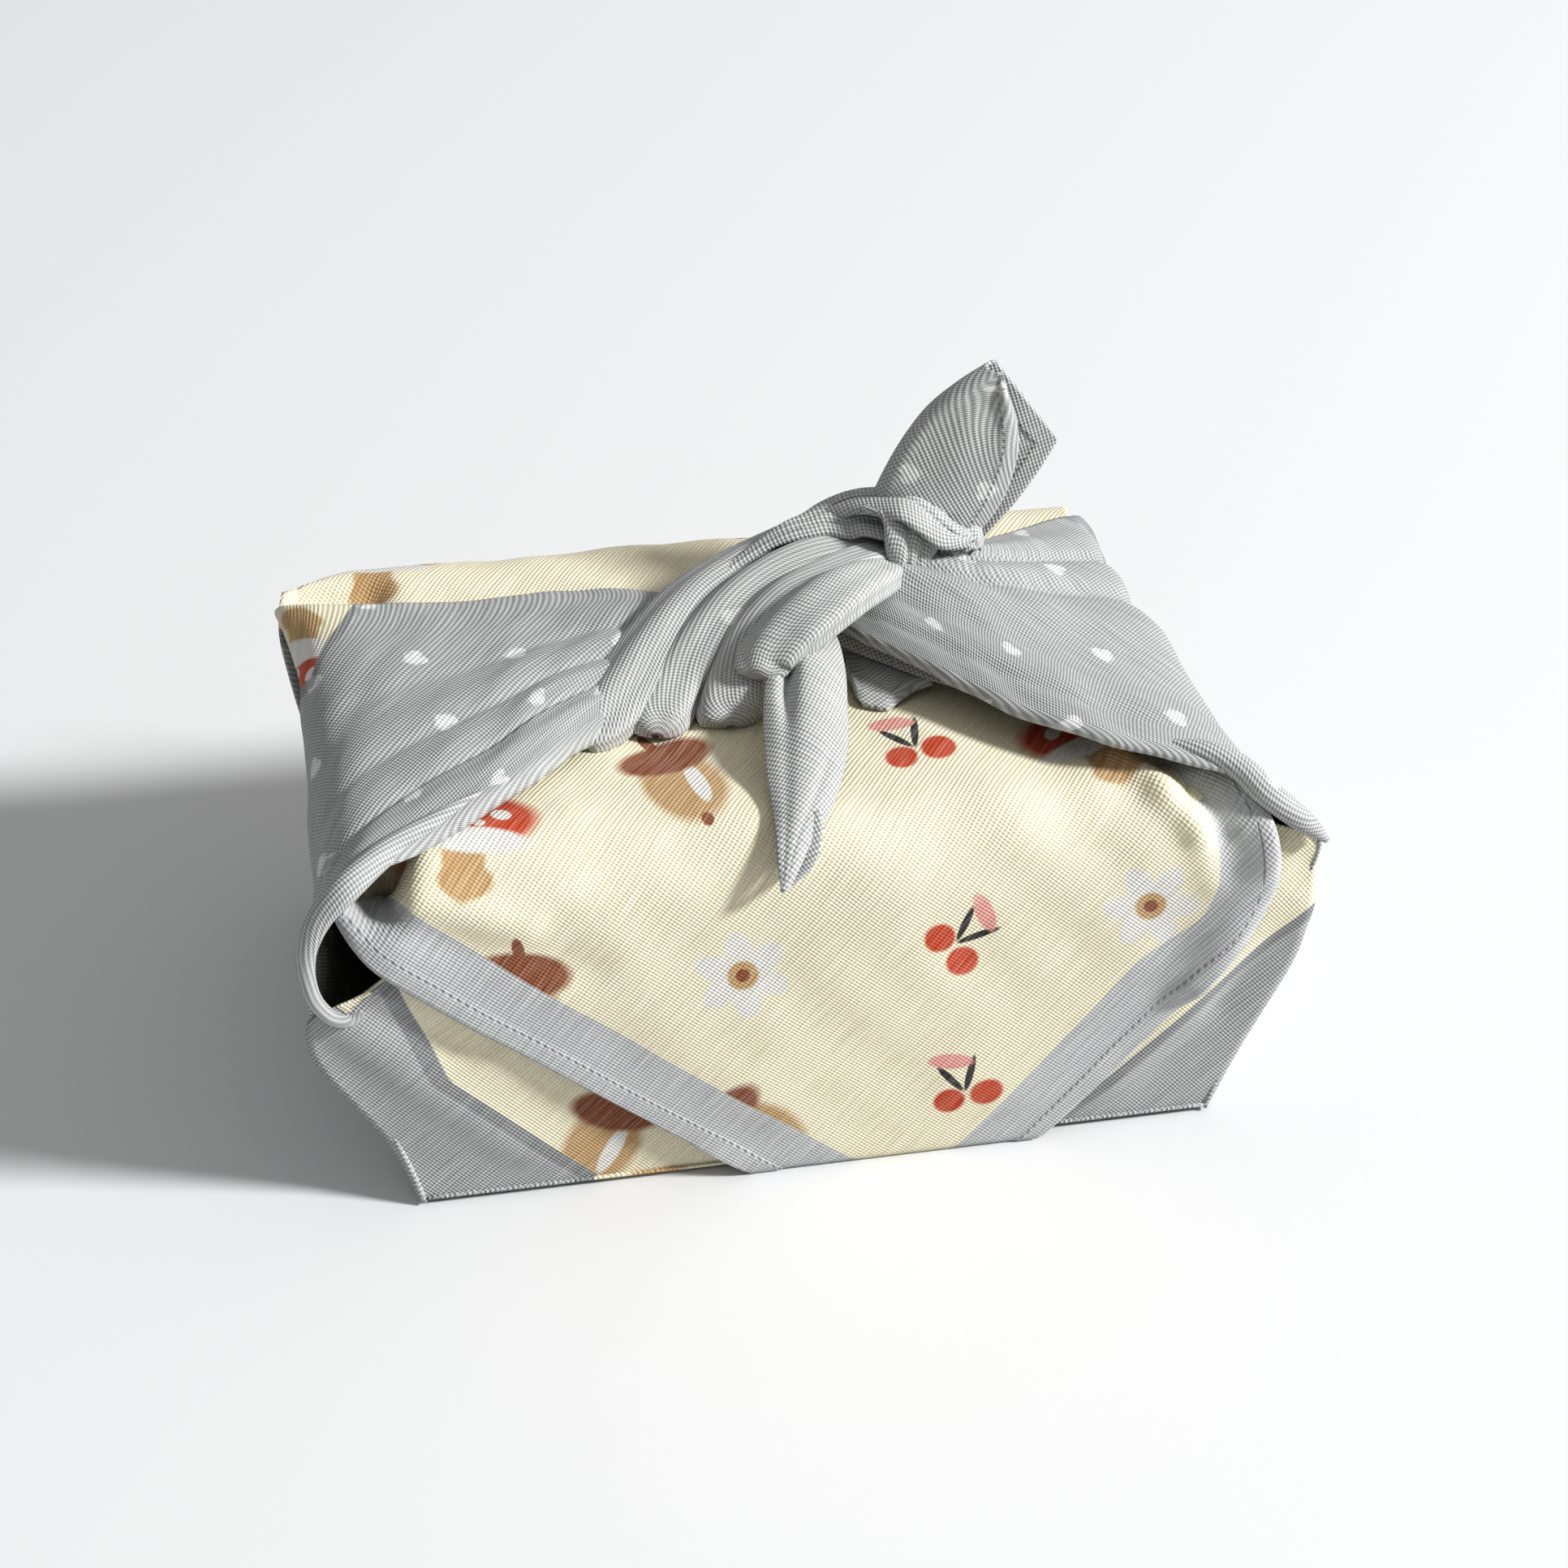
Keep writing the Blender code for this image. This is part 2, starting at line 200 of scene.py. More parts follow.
def ripple(x: Array, y: Array, length: float, seed: int) -> Array:
    """Soft unevenness: six waves in turned directions added up.

    Each is sin(k . (x, y) + phase), k about 2 pi / length long, and the sum is
    divided by the square root of six.

    Args:
        x: first coordinate, in millimetres.
        y: second coordinate, in millimetres.
        length: the waves' usual length, in millimetres.
        seed: picks the directions and phases.

    Returns:
        Values mostly from -1 to 1.
    """
    rng = np.random.default_rng(seed)
    total = np.zeros(np.broadcast(x, y).shape)
    for turn, phase, stretch in rng.uniform(0, 1, (6, 3)):
        angle = turn * math.pi
        pitch = 2 * math.pi / (length * (0.7 + 0.7 * stretch))
        total += np.sin(pitch * (x * math.cos(angle) + y * math.sin(angle)) + 6.3 * phase)
    return total / math.sqrt(6)


def unevenness(x: Array, y: Array, waves: Waves) -> Array:
    """Adds up ripples.

    Args:
        x: first coordinate, in millimetres.
        y: second coordinate, in millimetres.
        waves: rows of height, length and seed.

    Returns:
        The lift at each place.
    """
    return sum(height * ripple(x, y, length, seed) for height, length, seed in waves)


def turned(u: Array, v: Array, angle: float, start: float = 0.0) -> Array:
    """Turns a place on the flat cloth and moves it along u.

    Args:
        u: first coordinate, in millimetres.
        v: second coordinate, in millimetres.
        angle: the turn, in radians.
        start: what is added to the turned u.

    Returns:
        The flat places, with u and v on the last axis.
    """
    c, s = math.cos(angle), math.sin(angle)
    return np.stack([start + c * u - s * v, s * u + c * v], axis=-1)


def soft_lines(x: Array, y: Array, lines: Sequence[Row]) -> Array:
    """Creases: each row lifts the cloth along a line and fades out to its sides.

    The lift is height times exp(-(d / width)^2), d being the distance to the line.

    Args:
        x: first coordinate, in millimetres.
        y: second coordinate, in millimetres.
        lines: rows of x, y, x, y, width, height, the last negative for a trough.

    Returns:
        The total lift at each place.
    """
    lift = np.zeros_like(x)
    for x0, y0, x1, y1, width, height in lines:
        run = np.array([x1 - x0, y1 - y0])
        t = np.clip(((x - x0) * run[0] + (y - y0) * run[1]) / (run @ run), 0, 1)
        away = np.hypot(x - x0 - t * run[0], y - y0 - t * run[1])
        lift += height * np.exp(-((away / width) ** 2))
    return lift


@dataclass(frozen=True)
class Patch:
    """A part of the cloth as grids of rows by columns.

    Args:
        points: where each point lies, in millimetres.
        flat: its place on the flat cloth, in millimetres from the middle.
        edge: its distance to the nearest hem, in millimetres.
        quarter: its distance to the quarters' boundary, plus in a figure quarter.
        tint: how much the reverse, lighter side shows, from 0 to 1; in the knot's folds, strips and
            tails part of it is painted light.
    """

    points: Array
    flat: Array
    edge: Array
    quarter: Array
    tint: Array


def on_cloth(points: Array, flat: Array) -> Patch:
    """Makes a patch whose hems and quarters follow from its flat places.

    On the flat cloth, the distance to a hem is (reach - |u| - |v|) / sqrt 2, and a
    point is in a figure quarter where |v| is more than |u|.

    Args:
        points: grid of points.
        flat: grid of flat places.

    Returns:
        The patch.
    """
    u, v = np.abs(flat[..., 0]), np.abs(flat[..., 1])
    edge = (CLOTH.reach - u - v) / math.sqrt(2)
    quarter = (v - u) / math.sqrt(2)
    return Patch(points, flat, edge, quarter, np.zeros_like(edge))


def in_knot(points: Array, flat: Array, edge: Array, tint: float = CLOTH.knot_reverse_and_painted_light) -> Patch:
    """Makes a patch of plain grey cloth, as the knot and the ears show it.

    Args:
        points: grid of points.
        flat: grid of flat places.
        edge: distance to the hem.
        tint: how much the lighter reverse side shows; the default, used by the knot's parts, is
            partly painted light.

    Returns:
        The patch.
    """
    return Patch(points, flat, edge, np.full_like(edge, -AWAY), np.full_like(edge, tint))


class ClothPart(ABC):
    """A part of the folded cloth that becomes one thin closed sheet."""

    name: str
    hold: Hold = Hold.FOLDED
    rests_on: tuple[str, ...] = ()

    @abstractmethod
    def patch(self) -> Patch:
        """Works out the part's grid.

        Returns:
            The points and what the print needs at each.
        """

    def build(self, material: bpy.types.Material) -> bpy.types.Object:
        """Args:
            material: the printed cotton.

        Returns:
            The object.
        """
        patch = self.patch()
        low, high = (CLOTH.hem + step for step in CLOTH.hem_step)
        in_hem = 1 - step_up(patch.edge, low, high)
        thick = CLOTH.thick + (CLOTH.hem_thick - CLOTH.thick) * in_hem
        made = closed_sheet(self.name, patch, thick)
        made.data.materials.append(material)
        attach(made, "root")
        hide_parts(CAD_NODE)
        LOG.info("%s: %d faces", self.name, len(made.data.polygons))
        return made


def closed_sheet(name: str, patch: Patch, thick: Array) -> bpy.types.Object:
    """Closes a grid into a thin sheet, with its print data on every point.

    The two faces are the grid moved half the thickness each way along its normal, and
    a strip round the rim joins them.

    Args:
        name: the object's name.
        patch: the grid and its print data.
        thick: thickness at each point, in millimetres.

    Returns:
        The object.
    """
    rows, columns = patch.points.shape[:2]
    count = rows * columns
    shift = grid_normal(patch.points) * thick[..., None] / 2
    both = [(patch.points + shift).reshape(-1, 3), (patch.points - shift).reshape(-1, 3)]
    points = np.concatenate(both) * MM
    index = np.arange(count).reshape(rows, columns)
    cells = [index[:-1, :-1], index[1:, :-1], index[1:, 1:], index[:-1, 1:]]
    quads = np.stack(cells, axis=-1).reshape(-1, 4)
    rim = np.concatenate(
        [index[0, :], index[1:, -1], index[-1, -2::-1], index[-2:0:-1, 0]]
    )
    following = np.roll(rim, -1)
    strip = np.stack([rim, following, following + count, rim + count], axis=-1)
    faces = np.concatenate([quads, quads[:, ::-1] + count, strip])
    corners = points[faces]
    volume = np.einsum(
        "ij,ij->", corners[:, 0], np.cross(corners[:, 1], corners[:, 2])
    ) + np.einsum("ij,ij->", corners[:, 0], np.cross(corners[:, 2], corners[:, 3]))
    if volume < 0:
        faces = faces[:, ::-1]
    mesh = bpy.data.meshes.new(name)
    mesh.vertices.add(len(points))
    mesh.vertices.foreach_set("co", points.astype(np.float32).ravel())
    mesh.loops.add(faces.size)
    mesh.loops.foreach_set("vertex_index", faces.astype(np.int32).ravel())
    mesh.polygons.add(len(faces))
    mesh.polygons.foreach_set("loop_start", np.arange(0, faces.size, 4, dtype=np.int32))
    mesh.polygons.foreach_set("use_smooth", np.ones(len(faces), dtype=bool))
    mesh.update(calc_edges=True)
    mesh.validate()
    place = np.zeros((rows, columns, 3))
    place[..., :2] = patch.flat
    add_data(mesh, "flat", "FLOAT_VECTOR", "vector", place.reshape(-1, 3))
    for label in ("edge", "quarter", "tint"):
        add_data(mesh, label, "FLOAT", "value", getattr(patch, label).reshape(-1, 1))
    layer = mesh.uv_layers.new(name="cloth")
    loops = np.zeros(len(mesh.loops), dtype=np.int32)
    mesh.loops.foreach_get("vertex_index", loops)
    chart = np.concatenate([patch.flat.reshape(-1, 2)] * 2)[loops] / (2 * CLOTH.reach)
    layer.data.foreach_set("uv", (chart + 0.5).astype(np.float32).ravel())
    made = bpy.data.objects.new(name, mesh)
    bpy.context.scene.collection.objects.link(made)
    return made


def add_data(mesh: bpy.types.Mesh, label: str, kind: str, slot: str, grid: Array) -> None:
    """Stores a value on every point of both faces.

    Args:
        mesh: the closed sheet.
        label: the attribute's name.
        kind: its data type.
        slot: the property that holds it.
        grid: one face's values, a row per point.
    """
    made = mesh.attributes.new(label, kind, "POINT")
    made.data.foreach_set(slot, np.concatenate([grid, grid]).astype(np.float32).ravel())


@dataclass(frozen=True)
class Base(ClothPart):
    """The middle of the cloth, flat under the box."""

    name: str = "cloth_base"
    rests_on: tuple[str, ...] = ("floor",)
    height: float = 2.0
    past: Span = (0.5, 1.5)
    wide: float = 1.1
    steps: tuple[int, int] = (24, 36)

    def patch(self) -> Patch:
        """Works out a level grid.

        Returns:
            The patch.
        """
        half_x, half_y = BOX.width / 2 + self.past[0], BOX.depth / 2 + self.past[1]
        y, x = np.meshgrid(
            np.linspace(-half_y, half_y, self.steps[0]),
            np.linspace(-half_x, half_x, self.steps[1]),
            indexing="ij",
        )
        points = np.stack([x, y, np.full_like(x, self.height)], axis=-1)
        return on_cloth(points, np.stack([x * self.wide, y], axis=-1))


@dataclass(frozen=True)
class NearPanel(ClothPart):
    """The near corner's cloth, up the front and over the top under all the rest.

    Its place on the flat cloth: v runs down from the middle by half the depth and the
    distance s up the panel, and u is x stretched by wide and leaning by lean times v.
    Its left side is gathered above bend_from, which bends the quarters' boundary, and a
    cream lobe shows at the lip of the left ear. Creases and ripples fade in over the
    span slack of s, and out over taut.
    """

    name: str = "near_panel"
    rests_on: tuple[str, ...] = ("cloth_base",)
    wide: float = 1.1
    lean: float = 0.021
    bend: float = 0.44
    bend_from: float = 36.0
    bend_side: Span = (60.0, 80.0)
    lobe_x: float = -84.0
    lip_x: float = -96.8
    lip_z: float = 57.0
    lip_slope: float = 1.0
    print_shift: float = 16.0
    uneven: Waves = ((0.3, 46.0, 3),)
    slack: Span = (0.0, 14.0)
    taut: Span = (72.0, 84.0)
    steps: tuple[int, int] = (170, 130)
    rows: tuple[Row, ...] = (
        # y, z, left x, right x
        (-53.0, 1.0, -85.8, 85.8),
        (-54.0, 20.0, -92.0, 92.0),
        (-55.0, 42.0, -103.6, 100.5),
        (-55.6, 52.0, -105.6, 102.2),
        (-55.8, 57.0, -104.2, 102.8),
        (-55.7, 59.4, -99.6, 103.0),
        (-55.5, 61.2, -94.6, 103.1),
        (-55.0, 64.5, -90.5, 103.3),
        (-54.4, 69.5, -84.0, 103.4),
        (-53.6, 75.0, -80.0, 102.5),
        (-51.5, 81.5, -79.0, 84.0),
        (-45.5, 85.4, -78.5, 78.0),
        (-20.0, 85.8, -78.5, 74.0),
        (16.0, 85.8, -78.5, 70.0),
        (44.0, 85.8, -60.0, 56.0),
    )
    creases: tuple[Row, ...] = (
        # x, s, x, s, width, height
        (-85.0, 4.0, -105.0, 54.0, 7.0, -0.8),
        (-58.0, 4.0, -98.0, 52.0, 5.0, 0.9),
        (-76.0, 44.0, -94.0, 58.0, 4.0, -1.0),
        (57.0, 4.0, 99.0, 58.0, 4.5, 1.3),
        (72.0, 6.0, 96.0, 46.0, 6.0, -0.8),
        (86.0, 30.0, 101.0, 66.0, 4.0, -1.0),
    )

    def patch(self) -> Patch:
        """Works out the panel.

        Returns:
            The patch.
        """
        table = smooth_rows(self.rows, self.steps[0])
        across = np.linspace(0, 1, self.steps[1])
        x = table[:, 2:3] + (table[:, 3:4] - table[:, 2:3]) * across
        y, z = (np.repeat(table[:, k : k + 1], len(across), axis=1) for k in (0, 1))
        points = np.stack([x, y, z], axis=-1)
        path = np.stack([np.zeros(len(table)), table[:, 0], table[:, 1]], axis=-1)
        s = np.repeat(run_length(path[:, None], 0), len(across), axis=1)
        lift = soft_lines(x, s, self.creases) + unevenness(x, s, self.uneven)
        lift *= step_up(s, *self.slack) * (1 - step_up(s, *self.taut))
        points[..., 1] -= lift
        v = -(BOX.depth / 2 + s)
        u = self.wide * (x + self.lean * v)
        made = on_cloth(points, np.stack([u, v], axis=-1))
        made.flat[..., 0] += self.print_shift
        gathered = self.bend * np.clip(z - self.bend_from, 0, None)
        gathered *= step_up(-x, *self.bend_side)
        above_lip = z - (self.lip_z + self.lip_slope * np.abs(x - self.lip_x))
        lobe = (above_lip > 0) & (x < self.lobe_x)
        made.quarter[:] = np.where(lobe, above_lip, made.quarter - gathered)
        return made


@dataclass(frozen=True)
class FrontFlap(ClothPart):
    """The far corner's cloth: tucked tip, front, top and back, as one long panel.

    s is the distance from the ground up the front and on over the top. The tip of the
    cloth lies at (tip_x, -tip_s) in x and s, its middle line leans by lean, and the
    flat place is (u, v) = (wide times the distance across, reach less the distance up).
    The left side bends round the ear and the back corner, and the right hem is drawn in.
    slack and the names that end in from or to are spans of s, over which each of these
    sets in or ends.
    """

    name: str = "front_flap"
    rests_on: tuple[str, ...] = ("near_panel",)
    tip_x: float = 22.0
    tip_s: float = 34.1
    lean: float = math.radians(5.45)
    wide: float = 1.083
    steps: tuple[int, int] = (230, 150)
    section: tuple[Row, ...] = (
        # y, z
        (-46.0, 0.8),
        (-55.0, 0.9),
        (-56.6, 2.8),
        (-56.8, 12.0),
        (-57.2, 28.0),
        (-57.3, 46.0),
        (-57.0, 62.0),
        (-56.2, 74.0),
        (-53.6, 82.0),
        (-48.0, 87.2),
        (-40.0, 88.9),
        (-20.0, 88.7),
        (5.0, 88.4),
        (28.0, 88.8),
        (42.0, 90.0),
        (50.5, 90.0),
        (56.5, 86.5),
        (58.6, 79.0),
        (58.2, 66.0),
        (57.0, 48.0),
        (55.4, 22.0),
        (53.6, 0.8),
    )
    sides: tuple[Row, ...] = (
        # s, left x, right x
        (-12.0, 8.0, 32.0),
        (0.0, -16.0, 47.0),
        (20.0, -38.3, 64.0),
        (40.0, -60.6, 78.5),
        (55.0, -77.4, 88.0),
        (64.0, -87.4, 92.0),
        (72.0, -95.0, 92.8),
        (80.0, -98.8, 91.6),
        (87.0, -98.0, 88.4),
        (93.0, -94.5, 86.4),
        (102.0, -89.0, 82.0),
        (130.0, -88.0, 76.0),
        (160.0, -88.0, 74.0),
        (172.0, -90.5, 74.0),
        (180.0, -97.0, 74.5),
        (188.0, -101.0, 75.0),
        (198.0, -102.8, 77.0),
        (210.0, -102.0, 81.0),
        (228.0, -99.5, 85.5),
        (250.0, -94.5, 88.5),
        (270.0, -89.5, 88.0),
        (290.0, -85.8, 85.8),
    )
    creases: tuple[Row, ...] = (
        # x, s, x, s, width, height
        (58.0, 112.0, 64.0, 99.0, 3.2, 0.9),
        (64.0, 99.0, 70.0, 88.0, 3.2, 1.4),
        (70.0, 88.0, 76.5, 80.0, 3.2, 1.7),
        (76.5, 80.0, 79.5, 68.0, 3.4, 1.2),
        (65.0, 110.0, 71.0, 98.0, 3.2, -1.4),
        (71.0, 98.0, 77.0, 88.0, 3.2, -1.8),
        (77.0, 88.0, 81.5, 78.0, 2.8, -1.8),
        (82.5, 100.0, 86.5, 88.0, 4.2, 0.8),
        (86.5, 88.0, 90.0, 74.0, 4.2, 0.8),
        (64.0, 92.0, 58.0, 78.0, 5.0, -0.7),
        (93.0, 76.0, 80.0, 42.0, 6.5, 4.0),
        (-90.5, 82.0, -86.5, 97.0, 4.2, -26.0),
        (-95.0, 74.0, -97.5, 84.0, 2.6, 1.4),
        (-84.0, 183.0, -100.0, 184.0, 5.0, -5.0),
        (-88.0, 84.0, -60.0, 74.0, 4.0, 1.0),
        (-84.0, 76.0, -48.0, 62.0, 5.0, -0.8),
        (-84.0, 92.0, -50.0, 98.0, 5.0, 0.9),
        (-70.0, 88.0, -30.0, 86.0, 6.0, -0.5),
        (-30.0, 118.0, 10.0, 96.0, 8.0, -1.0),
        (-16.0, 96.0, 16.0, 74.0, 8.0, 0.8),
        (24.0, 120.0, 40.0, 84.0, 7.0, 0.9),
        (46.0, 112.0, 52.0, 80.0, 6.0, -0.7),
        (10.0, 60.0, 34.0, 20.0, 12.0, 0.6),
        (-40.0, 60.0, -10.0, 20.0, 11.0, 0.6),
        (-92.0, 182.0, -40.0, 172.0, 5.0, -1.2),
        (-98.0, 200.0, -60.0, 196.0, 4.0, 1.0),
        (-20.0, 186.0, 40.0, 182.0, 6.0, 0.6),
    )
    corner_start: float = 86.0
    corner_round: float = 9.0
    back_start: float = 84.0
    back_turn: float = 0.046
    drawn_in: float = 1.35
    ground: float = 1.2
    uneven: Waves = ((0.35, 52.0, 11), (0.15, 19.0, 12))
    slack: Span = (0.0, 12.0)
    corner_from: Span = (66.0, 74.0)
    corner_to: Span = (92.0, 104.0)
    back_from: Span = (186.0, 198.0)
    drawn_from: Span = (48.0, 62.0)
    drawn_to: Span = (104.0, 112.0)
    section_steps: int = 900
    side_steps: int = 400

    def lengths(self) -> tuple[Array, Array]:
        """Works out the section and the distance along it from the ground.

        Returns:
            The section's points, and each one's distance.
        """
        line = smooth_rows(self.section, self.section_steps)
        path = np.stack([np.zeros(len(line)), line[:, 0], line[:, 1]], axis=-1)
        s = run_length(path[:, None], 0)[:, 0]
        return line, s - s[int(np.argmax(line[:, 1] > self.ground))]

    def patch(self) -> Patch:
        """Works out the flap.

        Returns:
            The patch.
        """
        line, distance = self.lengths()
        s_line = np.linspace(distance[0], distance[-1], self.steps[0])
        y_line, z_line = (np.interp(s_line, distance, line[:, k]) for k in (0, 1))
        sides = smooth_rows(self.sides, self.side_steps)
        left, right = (np.interp(s_line, sides[:, 0], sides[:, k]) for k in (1, 2))
        across = np.linspace(0, 1, self.steps[1])
        x = left[:, None] + (right - left)[:, None] * across
        s, y, z = (
            np.repeat(values[:, None], len(across), axis=1)
            for values in (s_line, y_line, z_line)
        )
        points = np.stack([x, y, z], axis=-1)
        lift = soft_lines(x, s, self.creases) + unevenness(x, s, self.uneven)
        lift *= step_up(s, *self.slack)
        normal = grid_normal(points)
        normal *= np.sign(normal[len(s_line) // 2, 0, 2])
        points += normal * lift[..., None]
        over = np.clip(-x - self.corner_start, 0, None)
        wrapped = over**2 / (2 * self.corner_round) * step_up(s, *self.corner_from)
        points[..., 1] += wrapped * (1 - step_up(s, *self.corner_to))
        bent = np.clip(-x - self.back_start, 0, None) ** 2 * self.back_turn
        points[..., 1] -= bent * step_up(s, *self.back_from)
        across_x, up = x - self.tip_x, s + self.tip_s
        u = self.wide * (across_x * math.cos(self.lean) + up * math.sin(self.lean))
        v = CLOTH.reach - (up * math.cos(self.lean) - across_x * math.sin(self.lean))
        made = on_cloth(points, np.stack([u, v], axis=-1))
        drawn = step_up(s, *self.drawn_from) * (1 - step_up(s, *self.drawn_to)) * (x > 0)
        from_side = (right[:, None] - x) * self.drawn_in
        made.edge[:] += (from_side - made.edge) * drawn
        return made


@dataclass(frozen=True)
class Wing(ClothPart):
    """A side corner's cloth, from the ground up the side and over to the knot.

    A row runs from the front fold to the back fold. Its middle sinks towards the box
    or stands as a crown, pleats run along it, and its front edge rolls under. t runs
    from 0 at the ground to 1 at the knot. At the back, a cream corner grows over the span
    cream_heights of z, and ends over the spans narrowing and cream_end of t.
    """

    name: str
    rows: tuple[Row, ...]
    pleats: tuple[Row, ...]
    side: float
    hold: Hold = Hold.GATHERED
    rests_on: tuple[str, ...] = ("front_flap", "near_panel")
    steps: tuple[int, int] = (170, 120)
    roll: float = 1.7
    roll_steps: int = 9
    top_from: float = 0.34
    cream_corner: float = 0.0
    start: float = 7.0
    pleats_by: float = 0.45
    waves: tuple[Span, ...] = ((0.35, 34.0), (0.15, 13.0))
    wave_seed: int = 21
    slack: float = 16.0
    cream_heights: Span = (66.0, 86.0)
    narrowing: Span = (0.5, 0.63)
    cream_end: Span = (0.59, 0.64)
    cream_drop: float = 5.0
    roll_tint: float = 0.5
    roll_arc: Span = (1.25 * math.pi, 0.12 * math.pi)
    roll_least: float = 0.15
    roll_grows: Span = (92.0, 112.0)

    def patch(self) -> Patch:
        """Works out the wing.

        Returns:
            The patch.
        """
        table = smooth_rows(self.rows, self.steps[0])
        p = np.linspace(0, 1, self.steps[1])[None, :, None]
        front, back = table[:, None, 0:3], table[:, None, 3:6]
        chord = front + (back - front) * p
        heart = np.array([0.0, 0.0, BOX.height / 2])
        to_box = unit(heart - chord * [1.0, 0.0, 1.0])
        plateau = 1 - (2 * p - 1) ** 4
        t = np.linspace(0, 1, self.steps[0])[:, None]
        on_top = np.clip((t - self.top_from) / (1 - self.top_from), 0, 1)
        lift = np.zeros((self.steps[0], self.steps[1]))
        for p_ear, p_knot, width, height in self.pleats:
            middle = p_ear + (p_knot - p_ear) * on_top
            shape = np.exp(-(((p[..., 0] - middle) / width) ** 2))
            lift += height * shape * step_up(on_top, 0.0, self.pleats_by)
        grid = chord + to_box * (table[:, None, 6:7] * plateau - lift[..., None])
        along = run_length(grid, 0)
        across = run_length(grid, 1)
        first = self.wave_seed + int(self.side)
        waves = [(*wave, first + number) for number, wave in enumerate(self.waves)]
        uneven = unevenness(along, across, waves) * step_up(along, 0.0, self.slack)
        grid = grid - to_box * uneven[..., None]
        grid, rolled = self.rolled(grid, -to_box)
        along = np.concatenate([along[:, :1]] * self.roll_steps + [along], axis=1)
        across = np.concatenate([rolled, across], axis=1)
        far = across[:, -1:] - across
        v = -self.side * (grid[..., 1] + np.clip(across, None, 0))
        flat = np.stack([self.side * (BOX.width / 2 + self.start + along), v], axis=-1)
        low, high = self.narrowing
        narrowed = 1 - np.clip((t - low) / (high - low), 0, 1)
        cream = self.cream_corner * step_up(grid[..., 2], *self.cream_heights) * narrowed
        cream = cream - far - self.cream_drop * step_up(t, *self.cream_end)
        tint = self.roll_tint * step_up(-across, 0.5, 2.5)
        return Patch(grid, flat, np.full_like(along, AWAY), cream, tint)

    def rolled(self, grid: Array, outward: Array) -> tuple[Array, Array]:
        """Adds the rolled front edge: part of a circle that turns out and under.

        With T pointing into the sheet, N outward and C a radius below the edge, the
        points are C + r(N cos a - T sin a) for a from the roll's end to its start.

        Args:
            grid: the wing's points.
            outward: unit vectors that point away from the box.

        Returns:
            The wider grid, and the distance of each new column from the fold, as minus.
        """
        inward = unit(grid[:, 1] - grid[:, 0])
        out = unit(outward[:, 0] - inward * (outward[:, 0] * inward).sum(-1)[:, None])
        height = run_length(grid[:, :1], 0)[:, 0]
        grown = step_up(height, *self.roll_grows)
        radius = self.roll * (self.roll_least + (1 - self.roll_least) * grown)
        angle = np.linspace(*self.roll_arc, self.roll_steps)
        centre = grid[:, 0] - out * radius[:, None]
        ring = centre[:, None] + radius[:, None, None] * (
            out[:, None] * np.cos(angle)[None, :, None]
            - inward[:, None] * np.sin(angle)[None, :, None]
        )
        distance = -radius[:, None] * angle[None, :]
        return np.concatenate([ring, grid], axis=1), distance


LEFT_WING_ROWS: tuple[Row, ...] = (
    # front x, y, z, back x, y, z, sink
    (-85.3, -53.5, 1.0, -85.3, 53.5, 1.0, 0.0),
    (-91.2, -52.6, 22.0, -90.0, 54.5, 22.0, 3.0),
    (-102.8, -53.4, 44.0, -95.0, 55.0, 46.0, 6.0),
    (-104.4, -54.4, 59.0, -98.6, 51.0, 66.0, 6.0),
    (-103.8, -56.8, 74.0, -101.2, 45.0, 81.0, 2.6),
    (-95.5, -54.0, 90.0, -102.5, 42.5, 89.5, 4.4),
    (-78.0, -43.0, 92.6, -90.0, 36.5, 92.6, 0.4),
    (-60.5, -32.0, 94.5, -64.0, 33.0, 93.0, -1.0),
    (-47.5, -20.5, 94.5, -42.0, 32.0, 93.6, -2.5),
    (-35.0, -12.0, 94.0, -24.0, 26.0, 96.0, -2.0),
    (-24.0, -8.0, 94.0, -10.0, 16.0, 98.0, -1.0),
)
LEFT_WING_PLEATS: tuple[Row, ...] = (
    # place at the ear, place at the knot, width, height
    (0.05, 0.10, 0.045, 0.9),
    (0.115, 0.24, 0.014, -1.3),
    (0.17, 0.34, 0.045, 0.9),
    (0.26, 0.44, 0.022, -0.9),
    (0.36, 0.54, 0.06, 0.9),
    (0.52, 0.66, 0.035, -0.7),
    (0.72, 0.80, 0.07, 0.5),
)
RIGHT_WING_ROWS: tuple[Row, ...] = (
    # front x, y, z, back x, y, z, sink
    (85.3, -53.5, 1.0, 85.3, 53.5, 1.0, 0.0),
    (91.0, -52.6, 22.0, 88.0, 54.5, 22.0, 3.0),
    (99.4, -53.4, 44.0, 88.5, 55.0, 46.0, 7.0),
    (101.4, -53.6, 62.0, 87.0, 54.0, 66.0, 6.5),
    (102.8, -54.2, 75.5, 81.0, 49.0, 83.0, 5.2),
    (95.5, -55.0, 85.0, 76.6, 45.0, 91.0, 3.0),
    (82.5, -49.5, 93.0, 72.2, 42.0, 94.0, -1.6),
    (59.4, -40.8, 97.4, 62.5, 36.0, 96.5, -3.0),
    (43.9, -29.8, 98.8, 54.0, 29.0, 99.5, -4.0),
    (29.0, -14.6, 100.0, 46.0, 21.0, 104.0, -3.5),
    (14.0, 1.4, 100.0, 37.0, 16.0, 109.0, -3.0),
)
RIGHT_WING_PLEATS: tuple[Row, ...] = (
    # place at the ear, place at the knot, width, height
    (0.06, 0.10, 0.03, -0.5),
    (0.22, 0.26, 0.07, -0.7),
    (0.50, 0.46, 0.08, 1.5),
    (0.66, 0.58, 0.03, -1.3),
    (0.74, 0.66, 0.05, 0.9),
    (0.83, 0.76, 0.022, -1.5),
    (0.92, 0.86, 0.05, 0.9),
)


